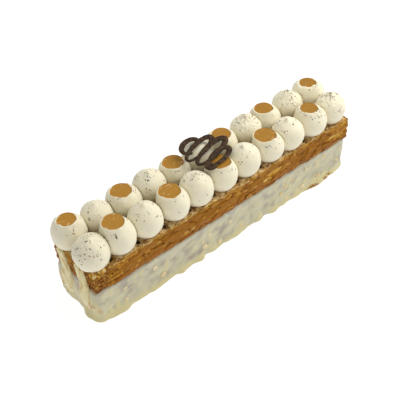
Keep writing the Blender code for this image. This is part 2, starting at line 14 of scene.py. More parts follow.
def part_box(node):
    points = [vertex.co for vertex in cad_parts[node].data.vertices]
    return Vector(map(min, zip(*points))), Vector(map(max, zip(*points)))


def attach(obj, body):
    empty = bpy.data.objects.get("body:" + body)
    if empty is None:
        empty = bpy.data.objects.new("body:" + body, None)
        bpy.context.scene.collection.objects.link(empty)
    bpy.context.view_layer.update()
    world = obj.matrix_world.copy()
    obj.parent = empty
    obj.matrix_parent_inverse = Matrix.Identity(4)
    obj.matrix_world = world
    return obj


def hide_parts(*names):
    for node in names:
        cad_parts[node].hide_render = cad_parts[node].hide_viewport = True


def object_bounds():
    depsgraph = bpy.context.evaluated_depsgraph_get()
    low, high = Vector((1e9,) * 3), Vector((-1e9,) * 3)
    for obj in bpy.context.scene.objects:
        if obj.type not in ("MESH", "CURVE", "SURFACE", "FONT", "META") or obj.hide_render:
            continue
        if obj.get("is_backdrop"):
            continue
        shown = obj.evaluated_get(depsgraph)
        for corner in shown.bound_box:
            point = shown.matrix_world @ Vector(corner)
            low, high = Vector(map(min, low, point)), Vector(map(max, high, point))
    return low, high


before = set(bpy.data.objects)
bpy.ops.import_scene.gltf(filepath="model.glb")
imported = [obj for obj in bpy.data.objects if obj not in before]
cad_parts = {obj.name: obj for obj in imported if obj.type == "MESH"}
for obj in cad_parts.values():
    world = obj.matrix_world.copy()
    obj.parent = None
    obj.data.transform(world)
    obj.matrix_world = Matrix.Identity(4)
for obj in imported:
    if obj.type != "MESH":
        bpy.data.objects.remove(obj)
cad_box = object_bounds()

# The bar is laid out round the middle of its two rows of domes. The caramel in the sixth front dome lies
# straight across from that middle, so it gives the middle's place.
MM = 0.001
ROW_DISTANCE = 30.4 * MM
sixth_low, sixth_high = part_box("caramel_front_06")
BAR_MIDDLE = Vector(((sixth_low.x + sixth_high.x) / 2, (sixth_low.y + sixth_high.y + ROW_DISTANCE) / 2, 0))


# The block is a frozen almond cream cut to a bar and coated with ivory glaze. The coat is thin on the
# walls, where the filling greys it, and it ran down into a thick yellowish foot with uneven lobes.
BLOCK_LEFT = -144.5 * MM
BLOCK_RIGHT = 146.8 * MM
BLOCK_WIDTH = 56.4 * MM
BLOCK_HEIGHT = 33.4 * MM
BLOCK_CORNER = 4.5 * MM
BLOCK_STEP = 1.1 * MM
RIGHT_LEAN = 2.6 * MM
LEFT_SKEW = 1.8 * MM
SKEW_START = -118 * MM
SKEW_END = -142 * MM
SLUMP_START = -138 * MM
SLUMP_END = -144 * MM
SLUMP = 2.0 * MM
RIPPLE_SIZE = 11 * MM
RIPPLE = 0.5 * MM
FOOT_HEIGHT = 13 * MM
FOOT_REACH = 3.9 * MM
FOOT_FALL = 2.2
FOOT_WAVE_SIZE = 17 * MM
FOOT_WAVE = 1.3 * MM
FOOT_ROUND = 1.6 * MM
FOOT_EDGE = 1.1 * MM
FOOT_RUNS = (
    # where the foot of the ends and the back differs: x, y, how far round it acts, extra reach, in mm
    (-147, -16, 8, 3.0),
    (-146, -2, 6, -2.2),
    (-146, 5, 7, -1.2),
    (148, -26, 14, -3.4),
    (148, 8, 26, -2.4),
    (-146, 30, 11, -2.8),
    (-90, 28, 16, 1.2),
    (20, 28, 12, 1.6),
    (96, 28, 18, 1.0),
)
FRONT_FOOT = (
    # the lobes of the front foot: x and reach, in mm
    (-146, 2.6), (-139, 3.0), (-130, 5.0), (-121, 5.6), (-113, 3.5), (-97, 3.8), (-90, 4.3), (-68, 3.0),
    (-60, 5.0), (-49, 3.8), (-38, 5.2), (-32, 2.3), (-23, 3.4), (-12, 2.6), (5, 4.0), (22, 1.8), (31, 3.5),
    (39, 1.2), (49, 4.7), (63, 3.1), (86, 3.4), (109, 6.0), (119, 4.8), (134, 3.6), (146, 1.0),
)
# Almond bits seen in the coat, on the front wall (x, height) and on the left end (y, height), in mm
FRONT_ALMONDS = (
    (-118, 8), (-117, 22), (-86, 23), (-79, 10), (-34, 17), (-32, 10), (-26, 20), (-16, 6), (-2, 21), (10, 8),
    (61, 14), (66, 20), (68, 6), (75, 23), (88, 7), (93, 26), (108, 25), (109, 8), (117, 28), (136, 12),
)
LEFT_ALMONDS = ((-24, 18), (4, 27), (21, 10))
HIDDEN_MOUNDS = 120
MOUND_WIDTH = 2.6 * MM
MOUND_LIMIT = 7 * MM
MOUND_RISE = 0.45
MOUND_COAT = 2.0 * MM
# The coat's small waves: the size of a streak across and along, of a lump and of a lobe, and their heights
STREAK = (5.5 * MM, 34 * MM, 0.32)
LUMP = (4.2 * MM, 0.18)
LOBE = (6.5 * MM, 0.7)
# The coat's upper edge: how far down it is round, how far down the pastry covers it, and its uneven lip
TOP_ROUND = 2 * MM
TOP_COVERED = 4 * MM
TOP_INSET = 1.6 * MM
LIP_START = 28.5 * MM
LIP_RISE = 1.5 * MM
LIP_REACH = 0.5 * MM
WALL_HEIGHTS = (
    0, 0.4, 0.9, 1.6, 2.5, 3.6, 5, 6.6, 8.4, 10.4, 12.6, 15, 17.5, 20, 22.5, 25, 27.2, 29, 30.4, 31.4, 32.1,
    32.7, 33.1, 33.4,
)


def edit_new(adder, **options):
    """Adds a primitive with nothing else selected, and opens it in edit mode."""
    bpy.ops.object.select_all(action="DESELECT")
    adder(**options)
    bpy.ops.object.mode_set(mode="EDIT")
    bpy.ops.mesh.select_mode(type="VERT")
    return bpy.context.object


def select_where(obj, kind, test):
    """Selects the vertices, edges or faces of the mesh in edit mode that pass a test, and nothing else."""
    bpy.ops.mesh.select_mode(type=kind)
    shape = bmesh.from_edit_mesh(obj.data)
    for items in (shape.verts, shape.edges, shape.faces):
        for item in items:
            item.select = False
    for item in {"VERT": shape.verts, "EDGE": shape.edges, "FACE": shape.faces}[kind]:
        if test(item):
            item.select_set(True)
    bmesh.update_edit_mesh(obj.data)


def end_edit(obj, name):
    """Leaves edit mode, names the piece and shades it smooth."""
    bpy.ops.object.mode_set(mode="OBJECT")
    obj.name = name
    obj.data.name = name
    bpy.ops.object.shade_smooth()
    return obj


def store(obj, name, values):
    """Keeps one number a vertex in the mesh, for its material to read."""
    layer = obj.data.attributes.new(name, "FLOAT", "POINT")
    layer.data.foreach_set("value", np.asarray(values, np.float32))


def clamp(value, low=0.0, high=1.0):
    return max(low, min(high, value))


def share_between(start, end, place):
    """0 up to the start and 1 from the end on."""
    return clamp((place - start) / (end - start))


def skewed(point):
    """The bar's left end stands further out at its back than at its front."""
    out = LEFT_SKEW * share_between(SKEW_START, SKEW_END, point.x) * (point.y / BLOCK_WIDTH + 0.5)
    return Vector((point.x - out, point.y, point.z))


def between(stops, place):
    """The value at a place between (place, value) stops, smooth at each stop."""
    for (first, low), (last, high) in zip(stops, stops[1:]):
        if place <= last:
            share = max(0.0, (place - first) / (last - first))
            return low + (high - low) * (0.5 - 0.5 * math.cos(math.pi * share))
    return stops[-1][1]


def foot_reach(wall, facing):
    """How far the foot runs out past the wall here."""
    reach = FOOT_REACH + FOOT_WAVE * noise.noise(wall / FOOT_WAVE_SIZE)
    for x, y, width, extra in FOOT_RUNS:
        distance = (wall - Vector((x * MM, y * MM, 0))).length
        reach += extra * MM * math.exp(-((distance / (width * MM)) ** 2))
    return reach + (between(FRONT_FOOT, wall.x / MM) * MM - reach) * max(0.0, -facing.y)


def wall_offset(wall, facing, height):
    """How far the coat stands out of the straight wall at this height, in big forms."""
    low = max(0.0, 1 - height / FOOT_HEIGHT)
    foot = foot_reach(wall, facing) * low ** FOOT_FALL
    if wall.x > BLOCK_RIGHT - BLOCK_CORNER:
        foot -= RIGHT_LEAN * (1 - height / BLOCK_HEIGHT)
    slump = SLUMP * share_between(SLUMP_START, SLUMP_END, wall.x)
    belly = slump * math.sin(math.pi * clamp(height / BLOCK_HEIGHT))
    ripple = RIPPLE * noise.noise(Vector((wall.x, wall.y, height)) / RIPPLE_SIZE)
    return foot + belly + ripple


def wall_place(spot):
    """The straight wall's nearest point and the way it faces."""
    half_x = (BLOCK_RIGHT - BLOCK_LEFT) / 2 - BLOCK_CORNER
    half_y = BLOCK_WIDTH / 2 - BLOCK_CORNER
    middle_x = (BLOCK_LEFT + BLOCK_RIGHT) / 2
    inner_x = middle_x + clamp(spot.x - middle_x, -half_x, half_x)
    inner = Vector((inner_x, clamp(spot.y, -half_y, half_y), 0))
    facing = (Vector((spot.x, spot.y, 0)) - inner).normalized()
    return inner + facing * BLOCK_CORNER, facing


def coat_mounds():
    """Where the coat swells over an almond: a point of the wall and the height there."""
    mounds = [Vector((x * MM, -BLOCK_WIDTH / 2, z * MM)) for x, z in FRONT_ALMONDS]
    mounds += [Vector((BLOCK_LEFT, y * MM, z * MM)) for y, z in LEFT_ALMONDS]
    rng = random.Random(3)
    for _ in range(HIDDEN_MOUNDS):
        x = rng.uniform(BLOCK_LEFT, BLOCK_RIGHT)
        y = rng.choice((-1, 1)) * BLOCK_WIDTH / 2
        mounds.append(Vector((x, y, rng.uniform(4, 30) * MM)))
    return mounds


MOUNDS = coat_mounds()


def mound_at(wall, height):
    """1 on the middle of a mound, fading to 0 round it."""
    found = 0.0
    for middle in MOUNDS:
        if abs(middle.x - wall.x) < MOUND_LIMIT:
            distance = (middle - Vector((wall.x, wall.y, height))).length
            found = max(found, math.exp(-((distance / MOUND_WIDTH) ** 2)))
    return found


def fine_coat(wall, height, mound):
    """Small waves of the coat: streaks that hang down the wall, mounds, and lobes low down in the foot."""
    across, along, streak_rise = STREAK
    streak = noise.noise(Vector((wall.x / across, wall.y / across, height / along)))
    lump_size, lump_rise = LUMP
    lump = noise.noise(Vector((wall.x, wall.y, height)) / lump_size)
    lobe_size, lobe_rise = LOBE
    lobe = noise.noise(Vector((wall.x / lobe_size, wall.y / lobe_size, 4.0)))
    low = max(0.0, 1 - height / FOOT_HEIGHT)
    return MM * (streak_rise * streak + lump_rise * lump + lobe_rise * lobe * low ** 2 + MOUND_RISE * mound)


coat = edit_new(bpy.ops.mesh.primitive_plane_add, size=1)
bpy.ops.transform.resize(value=(BLOCK_RIGHT - BLOCK_LEFT, BLOCK_WIDTH, 1))
bpy.ops.transform.translate(value=((BLOCK_LEFT + BLOCK_RIGHT) / 2, 0, 0))
bpy.ops.mesh.bevel(offset=BLOCK_CORNER, segments=7, affect="VERTICES")
for axis, length in ((0, BLOCK_RIGHT - BLOCK_LEFT), (1, BLOCK_WIDTH)):
    span = 2 * BLOCK_CORNER
    select_where(coat, "EDGE", lambda edge: abs(edge.verts[0].co[axis] - edge.verts[1].co[axis]) > span)
    bpy.ops.mesh.subdivide(number_cuts=min(int(length / BLOCK_STEP), 100))
select_where(coat, "EDGE", lambda edge: edge.calc_length() > 2 * BLOCK_STEP)
bpy.ops.mesh.subdivide(number_cuts=1)
bpy.ops.mesh.select_all(action="SELECT")
for low, high in zip(WALL_HEIGHTS, WALL_HEIGHTS[1:]):
    bpy.ops.mesh.extrude_region_move(TRANSFORM_OT_translate={"value": (0, 0, (high - low) * MM)})
select_where(coat, "EDGE", lambda edge: edge.is_boundary)
bpy.ops.mesh.edge_face_add()
bpy.ops.mesh.select_all(action="SELECT")
bpy.ops.mesh.normals_make_consistent(inside=False)
select_where(coat, "FACE", lambda face: face.normal.z > 0.9)
bpy.ops.mesh.inset(thickness=TOP_INSET)
end_edit(coat, "glaze_coat")
thickness = []
for vertex in coat.data.vertices:
    height = vertex.co.z
    wall, facing = wall_place(vertex.co)
    inset = (wall.xy - vertex.co.xy).length
    mound = mound_at(wall, height)
    out = wall_offset(wall, facing, height) + fine_coat(wall, height, mound)
    thickness.append(out + MOUND_COAT * mound)
    out -= FOOT_EDGE * max(0.0, 1 - height / FOOT_ROUND) ** 2
    if height > BLOCK_HEIGHT - TOP_ROUND:
        out -= 0.9 * (height - BLOCK_HEIGHT + TOP_ROUND) ** 1.5 / MM ** 0.5
    if height > BLOCK_HEIGHT - TOP_COVERED:
        out = min(out, 0.25 * MM)
    if inset < TOP_INSET / 2:
        lip = clamp(1.6 * noise.noise(wall / (6 * MM)) + 0.8 * noise.noise(wall / (2.4 * MM)) - 0.15)
        lip *= share_between(LIP_START, BLOCK_HEIGHT, height)
        height += LIP_RISE * lip
        out += LIP_REACH * lip
    vertex.co = skewed(wall + facing * (out - inset) + Vector((0, 0, height))) + BAR_MIDDLE
store(coat, "thickness", [out / MM for out in thickness])


def add_node(tree, kind, inputs=None, **settings):
    """A shader node with its settings, and its inputs set to values or joined to other nodes' outputs."""
    made = tree.nodes.new("ShaderNode" + kind)
    for name, value in settings.items():
        setattr(made, name, value)
    for socket, value in (inputs or {}).items():
        if isinstance(value, bpy.types.NodeSocket):
            tree.links.new(value, made.inputs[socket])
        else:
            made.inputs[socket].default_value = value
    return made


def worked(tree, operation, *values):
    """The result of a math node on these values or outputs."""
    return add_node(tree, "Math", dict(enumerate(values)), operation=operation).outputs[0]


def stored(tree, name):
    """The numbers that a piece's mesh keeps under this name."""
    return add_node(tree, "Attribute", attribute_name=name).outputs["Fac"]


def screen(red, green, blue):
    """A colour as seen on a screen, from 0 to 255, in the linear values that a shader takes."""
    channels = [value / 255 for value in (red, green, blue)]
    return (*[v / 12.92 if v < 0.04045 else ((v + 0.055) / 1.055) ** 2.4 for v in channels], 1.0)


def ramp(tree, factor, *stops):
    """The colour output of a ramp with these (place, colour) stops."""
    made = add_node(tree, "ValToRGB", {"Fac": factor})
    elements = made.color_ramp.elements
    for index, (place, colour) in enumerate(stops):
        element = elements[index] if index < 2 else elements.new(place)
        element.position = place
        element.color = colour
    return made.outputs["Color"]


def spots(tree, factor, low, high):
    """A mask: 0 up to low, 1 from high on."""
    inputs = {"Value": factor, "From Min": low, "From Max": high}
    return add_node(tree, "MapRange", inputs, interpolation_type="SMOOTHSTEP").outputs["Result"]


def mixed(tree, factor, first, second):
    """The colour output of a mix node, whose sockets for colours are its seventh and eighth."""
    return add_node(tree, "Mix", {0: factor, 6: first, 7: second}, data_type="RGBA").outputs[2]


def noise_of(tree, size, detail=3.0, stretch=(1, 1, 1), turn=(0, 0, 0), distortion=0.0):
    """Noise on Object coordinates with features of this size in metres, drawn out along turned axes."""
    place = add_node(tree, "TexCoord").outputs["Object"]
    scale = [size * s for s in stretch]
    inputs = {"Vector": place, "Scale": scale, "Rotation": turn}
    mapping = add_node(tree, "Mapping", inputs, vector_type="TEXTURE").outputs["Vector"]
    inputs = {"Vector": mapping, "Scale": 1.0, "Detail": detail, "Distortion": distortion}
    return add_node(tree, "TexNoise", inputs).outputs["Fac"]


def group_of(name, inputs, outputs):
    """An empty shader node group with these inputs and outputs, and its two end nodes."""
    made = bpy.data.node_groups.new(name, "ShaderNodeTree")
    sockets = made.interface
    for socket, kind, value in inputs:
        added = sockets.new_socket(socket, in_out="INPUT", socket_type="NodeSocket" + kind)
        added.default_value = value
    for socket, kind in outputs:
        sockets.new_socket(socket, in_out="OUTPUT", socket_type="NodeSocket" + kind)
    return made, made.nodes.new("NodeGroupInput").outputs, made.nodes.new("NodeGroupOutput").inputs


# Every food here is a little lighter and darker from place to place
uneven_tone, given, wanted = group_of(
    "uneven tone",
    [("Color", "Color", (1, 1, 1, 1)), ("Size", "Float", 0.01), ("Amount", "Float", 0.1)],
    [("Color", "Color")],
)
tone_place = add_node(uneven_tone, "TexCoord").outputs["Object"]
tone_scale = worked(uneven_tone, "DIVIDE", 1.0, given["Size"])
tone_noise = add_node(uneven_tone, "TexNoise", {"Vector": tone_place, "Scale": tone_scale, "Detail": 4.0})
tone_swing = worked(uneven_tone, "SUBTRACT", tone_noise.outputs["Fac"], 0.5)
tone_value = worked(uneven_tone, "MULTIPLY_ADD", tone_swing, given["Amount"], 1.0)
tone_made = add_node(uneven_tone, "HueSaturation", {"Color": given["Color"], "Value": tone_value})
uneven_tone.links.new(tone_made.outputs["Color"], wanted["Color"])

# Every food here has a fine grain that breaks up its gloss
fine_grain, given, wanted = group_of(
    "fine grain",
    [("Size", "Float", 0.001), ("Depth", "Float", 0.0001)],
    [("Normal", "Vector")],
)
grain_place = add_node(fine_grain, "TexCoord").outputs["Object"]
grain_scale = worked(fine_grain, "DIVIDE", 1.0, given["Size"])
grain_noise = add_node(fine_grain, "TexNoise", {"Vector": grain_place, "Scale": grain_scale, "Detail": 3.0})
grain_bump = add_node(fine_grain, "Bump", {"Height": grain_noise.outputs["Fac"], "Distance": given["Depth"]})
fine_grain.links.new(grain_bump.outputs["Normal"], wanted["Normal"])


def tone_surface(tree, shader, colour, size, amount):
    """Colours a material, unevenly by this amount in patches of this size."""
    toned = add_node(tree, "Group", {"Color": colour, "Size": size, "Amount": amount}, node_tree=uneven_tone)
    tree.links.new(toned.outputs["Color"], shader.inputs["Base Color"])


def grain_surface(tree, shader, size, depth):
    """Gives a material a grain of this size and depth."""
    grain = add_node(tree, "Group", {"Size": size, "Depth": depth}, node_tree=fine_grain)
    tree.links.new(grain.outputs["Normal"], shader.inputs["Normal"])


def new_material(name, roughness, **values):
    """A material with a Principled shader whose plain values are set on its own sockets."""
    made = bpy.data.materials.new(name)
    made.use_nodes = True
    shader = made.node_tree.nodes["Principled BSDF"]
    shader.inputs["Roughness"].default_value = roughness
    for socket, value in values.items():
        shader.inputs[socket.replace("_", " ")].default_value = value
    return made, made.node_tree, shader


def glaze_colour(tree, thick):
    """Ivory glaze: yellowish where it is thick, greyed in soft clouds by what it covers where it is thin, and
    stained by the toasted pastry on the left end."""
    cloud = noise_of(tree, 9 * MM, 2.5, stretch=(1.5, 1.5, 1.0), turn=(0, -0.35, 0), distortion=0.3)
    wall = ramp(tree, cloud, (0.32, MAUVE_GREY), (0.48, GREY_IVORY), (0.68, PALE_IVORY))
    place = add_node(tree, "TexCoord").outputs["Object"]
    along, _, height = add_node(tree, "SeparateXYZ", {0: place}).outputs
    wall = mixed(tree, spots(tree, height, 18 * MM, 48 * MM), wall, THIN_GLAZE)
    glazed = mixed(tree, thick, wall, THICK_GLAZE)
    at_end = spots(tree, along, BLOCK_LEFT + 5 * MM, BLOCK_LEFT - 1 * MM)
    stain = spots(tree, noise_of(tree, 4 * MM, 3.0, stretch=(1, 1, 2.4)), 0.54, 0.72)
    return mixed(tree, worked(tree, "MULTIPLY", at_end, stain), glazed, TOASTED_STAIN)


MAUVE_GREY = screen(167, 155, 138)
GREY_IVORY = screen(194, 189, 160)
PALE_IVORY = screen(211, 205, 170)
THICK_GLAZE = screen(213, 202, 152)
THIN_GLAZE = screen(203, 199, 180)
TOASTED_STAIN = screen(204, 170, 118)
glaze, tree, shader = new_material("ivory glaze", 0.40, Specular_IOR_Level=0.3)
uneven = worked(tree, "MULTIPLY_ADD", noise_of(tree, 5 * MM), 2.0, stored(tree, "thickness"))
tone_surface(tree, shader, glaze_colour(tree, spots(tree, uneven, 1.6, 3.6)), 6 * MM, 0.06)
grain_surface(tree, shader, 2.4 * MM, 0.10 * MM)
coat.data.materials.append(glaze)
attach(coat, "root")
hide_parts("glazed_block")


# Chopped almonds were stirred into the glaze. Here and there one stands out of the coat, roasted at its
# cut edges and with a film of glaze over it.
ALMOND_SIZE = 7.0 * MM
ALMONDS_BEHIND = 20
ALMONDS_AT_RIGHT = 5
ALMOND_HEIGHTS = (5, 29)  # of the unseen ones, in mm


def scattered(name, template, places, **layers):
    """One mesh with a copy of the template at each place, a 4x4 matrix, with numbers of their own for its
    material. The template is removed."""
    mesh = template.data
    count = len(mesh.vertices)
    points = np.empty(count * 3)
    mesh.vertices.foreach_get("co", points)
    points = np.c_[points.reshape(-1, 3), np.ones(count)]
    faces = [tuple(face.vertices) for face in mesh.polygons]
    every_point = np.concatenate([points @ np.array(place).T for place in places])[:, :3]
    every_face = [[c + count * copy for c in face] for copy in range(len(places)) for face in faces]
    joined = bpy.data.meshes.new(name)
    joined.from_pydata(every_point.tolist(), [], every_face)
    bpy.data.objects.remove(template, do_unlink=True)
    made = bpy.data.objects.new(name, joined)
    bpy.context.scene.collection.objects.link(made)
    for layer, values in layers.items():
        store(made, layer, np.repeat(values, count))
    return made


def placed(point, facing, spin, size):
    """A matrix that stands a template's Z along a direction, spins it, scales it, and moves it to a point."""
    turn = facing.to_track_quat("Z", "Y").to_matrix().to_4x4() @ Matrix.Rotation(spin, 4, "Z")
    return Matrix.Translation(point) @ turn @ Matrix.Diagonal((*size, 1))


def almond_places():
    """A matrix and a tone for every bit that stands out of the coat, all round."""
    rng = random.Random(11)
    spots_found = [(Vector((x * MM, -BLOCK_WIDTH / 2, 0)), z) for x, z in FRONT_ALMONDS]
    spots_found += [(Vector((BLOCK_LEFT, y * MM, 0)), z) for y, z in LEFT_ALMONDS]
    for _ in range(ALMONDS_BEHIND):
        spot = Vector((rng.uniform(BLOCK_LEFT, BLOCK_RIGHT), BLOCK_WIDTH / 2, 0))
        spots_found.append((spot, rng.uniform(*ALMOND_HEIGHTS)))
    for _ in range(ALMONDS_AT_RIGHT):
        spot = Vector((BLOCK_RIGHT, rng.uniform(-23, 23) * MM, 0))
        spots_found.append((spot, rng.uniform(*ALMOND_HEIGHTS)))
    for spot, z in spots_found:
        height = z * MM
        wall, facing = wall_place(spot)
        size = ALMOND_SIZE * rng.uniform(0.62, 1.0)
        out = wall_offset(wall, facing, height) + fine_coat(wall, height, 1) - size * rng.uniform(0.16, 0.25)
        point = skewed(wall + facing * out + Vector((0, 0, height))) + BAR_MIDDLE
        wide = (size * rng.uniform(0.42, 0.6), size * rng.uniform(0.34, 0.5), size * 0.36)
        yield placed(point, facing, rng.uniform(0, math.pi), wide), rng.random()


almond = edit_new(bpy.ops.mesh.primitive_ico_sphere_add, subdivisions=2, radius=1)
bpy.ops.transform.vertex_random(offset=0.16, uniform=1.0, seed=5)
end_edit(almond, "almond")
almond_spots, almond_tones = zip(*almond_places())
almonds = scattered("almond_bits", almond, almond_spots, tone=almond_tones)
almond_finish, tree, shader = new_material("chopped almond", 0.5, Specular_IOR_Level=0.35)
bit = ramp(
    tree,
    stored(tree, "tone"),
    (0.0, screen(236, 220, 176)),
    (0.7, screen(230, 208, 158)),
    (1.0, screen(222, 190, 134)),
)
edge = spots(tree, noise_of(tree, 1.6 * MM, 2.0), 0.56, 0.74)
bit = mixed(tree, edge, bit, screen(212, 174, 118))
film = spots(tree, noise_of(tree, 3.4 * MM, 2.0, distortion=1.0), 0.46, 0.66)
bit = mixed(tree, film, bit, PALE_IVORY)
tree.links.new(bit, shader.inputs["Base Color"])
almonds.data.materials.append(almond_finish)
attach(almonds, "root")


# The slab is caramelised puff pastry: thin leaves baked into long flat bubbles with crevices and small
# holes between them, painted dark as shade. Its near left corner is broken off, and its top is crumbly
# and painted dark as shade in the gaps between the domes.
PASTRY_BOTTOM = 33.7 * MM
PASTRY_TOP = 56.8 * MM
PASTRY_LEFT = -144.3 * MM
PASTRY_RIGHT = 148.0 * MM
PASTRY_MIDDLE = (PASTRY_LEFT + PASTRY_RIGHT) / 2
PASTRY_WIDTH = 57.4 * MM
PASTRY_CUTS = (99, 71, 42)
# Lengths and heights of a leaf and of a long bubble of leaves, in mm, and how the leaves rise along the bar
LEAF_CELL = (9.4, 3.9)
LENS_CELL = (26.0, 7.4)
LEAF_RISE = 0.13
CREVICE_WIDTH = 0.42
HOLED_LEAVES = 0.86
HOLE_DEPTH = 1.2
UNDERCUT = 0.7
UNDERCUT_HEIGHT = 1.2
# How far round the broken corner the pastry is rough, broken off, sunk and crumbled
ROUGH_REACH = 26 * MM
BROKEN_REACH = 13 * MM
SUNK_REACH = 15 * MM
CRUMBLED_REACH = 20 * MM
BROKEN_OFF = Vector((3.5 * MM, 2.6 * MM))
# Depths of the top in mm: between the domes, at the broken corner, in the gaps where two domes meet, at its
# worn rim, which has a width too, and in the crumbled corner's pits
TOP_DEPTH = 1.3
SUNK_DEPTH = 6.5
GAP_DEPTH = 1.6
WORN_DEPTH = 0.9
WORN_WIDTH = 2.6
PIT_DEPTH = 1.5
GAP_PLACE = 5.5 * MM
GAP_WIDTH = 2.4 * MM
SEAT_SHARE = 0.76
SEAT_EDGE = 2 * MM
DOME_PITCH = 27 * MM
DOME_RADIUS = 14.9 * MM
UNEVEN_DOMES = {
    # along the row, and how its radius, its height and its hollow's radius differ, in mm
    "front_01": (1.0, 0.3, 0.7, 0.0),
    "front_02": (0.0, 0.0, 3.9, 0.3),
    "front_03": (0.0, 0.0, 0.9, 0.0),
    "front_04": (1.8, -0.4, 1.0, 0.6),
    "front_05": (0.0, 0.0, 0.6, 0.0),
    "front_06": (0.0, 0.0, 1.2, 0.3),
    "front_07": (0.0, 0.0, 0.1, 0.0),
    "front_08": (1.5, -0.2, -0.7, 1.1),
    "front_09": (-1.4, 0.1, 0.4, 0.0),
    "front_10": (0.5, 0.5, 1.2, -0.7),
    "front_11": (-0.4, -0.4, -0.1, 0.0),
    "back_01": (0.0, 0.0, 1.6, -0.9),
    "back_02": (0.0, -0.9, -2.6, 0.0),
    "back_03": (0.3, 0.8, -1.9, 0.3),
    "back_04": (0.0, 0.0, -1.0, 0.0),
    "back_05": (0.6, -0.7, -3.1, 0.6),
    "back_06": (0.0, 0.0, -1.3, 0.0),
    "back_07": (0.0, 0.0, -1.8, -0.2),
    "back_08": (2.7, 0.0, -2.3, 0.0),
    "back_09": (-1.0, -0.1, -1.3, -0.1),
    "back_10": (0.8, -0.4, -0.4, 0.0),
    "back_11": (1.6, 0.9, -0.6, -0.8),
}


def dome_size(name):
    """A dome's centre and its widest radius."""
    row, number = name.split("_")
    shift, extra, _, _ = UNEVEN_DOMES[name]
    y = (-1 if row == "front" else 1) * ROW_DISTANCE / 2
    return Vector(((int(number) - 6) * DOME_PITCH + shift * MM, y, 0)), DOME_RADIUS + extra * MM


DOME_SIZES = [dome_size(name) for name in UNEVEN_DOMES]


def cell_relief(along, up, cell, seed):
    """How near a crevice a point of the side lies, from 0 to 1, its cell's own number, and how far above the
    cell's middle it lies."""
    warp = 1.1 * noise.noise(Vector((along / 19, up / 10, seed)))
    warp += 0.35 * noise.noise(Vector((along / 5, up / 4, seed + 9)))
    across = along / cell[0] + 0.4 * noise.noise(Vector((along / 9, up / 3, seed + 5)))
    spot = Vector((across, (up - LEAF_RISE * along + warp) / cell[1], seed))
    distances, points = noise.voronoi(spot)
    own = noise.cell(points[0] * 37.7)
    border = clamp(1 - (distances[1] - distances[0]) / CREVICE_WIDTH)
    return border, distances[0], own, spot.y - points[0].y


def leaf_relief(along, up, seed, rough):
    """How deep the side lies here in mm, its painted shade in crevices and holes, and the tone of its leaf
    with painted highlights on upper edges and painted shade in deep lumps.
    """
    border, middle, own, above = cell_relief(along, up, LEAF_CELL, seed)
    lens_border, _, lens_own, _ = cell_relief(along, up, LENS_CELL, seed + 17)
    hole = share_between(0.36, 0.12, middle) if own > HOLED_LEAVES - 0.45 * rough else 0.0
    fine = noise.noise(Vector((along / 1.7, up / 1.2, seed + 4)))
    lumps = noise.noise(Vector((along / 3.2, up / 2.4, seed + 2)))
    depth = 0.2 + 0.8 * own + 0.5 * middle + 0.5 * lens_border ** 3 + 0.45 * border ** 3
    depth += HOLE_DEPTH * hole + (0.12 + 0.9 * rough) * fine + (0.2 + 1.5 * rough) * lumps
    # Painted light in the tone: each leaf's upper edge is lighter as a painted highlight, and at the broken
    # corner the deeper lumps are darker as painted shade.
    lit_edge = clamp(1 - abs(border - 0.5) / 0.35) * clamp(3 * above)
    tone = 0.35 * lens_own + 0.4 * own + 0.45 * lit_edge - rough * (0.7 * lumps + 0.5 * fine)
    return max(0.05, depth), clamp(0.6 * border ** 3 + 0.4 * lens_border ** 4 + hole), clamp(tone)


def broken_corner(point, reach):
    """1 at the pastry's near left corner, fading to 0 round it."""
    corner = Vector((PASTRY_LEFT, -PASTRY_WIDTH / 2))
    return math.exp(-(((point.xy - corner).length / reach) ** 2))


def clear_of_domes(point):
    """How far a point of the top is from the nearest dome's seat."""
    near = [pair for pair in DOME_SIZES if abs(pair[0].x - point.x) < 30 * MM]
    return min((point.xy - centre.xy).length - SEAT_SHARE * radius for centre, radius in near)


def junction_gap(point):
    """1 in the sunk gap in front of the place where two domes of a row meet, painted near black as shade,
    fading to 0 round it.
    """
    to_row = abs(abs(point.y) - ROW_DISTANCE / 2 - GAP_PLACE)
    to_gap = abs((point.x / DOME_PITCH) % 1 - 0.5) * DOME_PITCH
    return math.exp(-((math.hypot(to_row, to_gap) / GAP_WIDTH) ** 2))


def top_relief(point, inward):
    """How deep the top lies here in mm, its painted shade in dome gaps and pits, its tone, and how far it is
    crust and no side.
    """
    crumbs = 0.6 + 0.8 * noise.noise(point / (7 * MM)) + 0.5 * noise.noise(point / (2.1 * MM))
    gap = junction_gap(point)
    depth = TOP_DEPTH * max(0.0, crumbs) + SUNK_DEPTH * broken_corner(point, SUNK_REACH) + GAP_DEPTH * gap
    depth *= clamp(clear_of_domes(point) / SEAT_EDGE)
    inward += 1.4 * noise.noise(point / (4 * MM))
    depth += WORN_DEPTH * clamp(1 - inward / WORN_WIDTH) ** 2
    crumbled = clamp(1.6 * broken_corner(point, CRUMBLED_REACH) - 0.2)
    pits = noise.noise(point / (2.6 * MM)) + 0.7 * noise.noise(point / (1.3 * MM))
    depth += PIT_DEPTH * crumbled * max(0.0, 0.3 + pits)
    crevice = max(gap, crumbled * clamp(2.2 * pits - 0.2))
    tone = clamp(0.5 + 0.9 * noise.noise(point / (3.5 * MM)))
    # The crumbled corner is darker all over, and darker still in its deeper pits as painted shade.
    tone = clamp(tone - 0.25 * crumbled - crumbled * pits)
    return depth, crevice, tone, share_between(0.6, 2.8, inward) * (1 - crumbled)


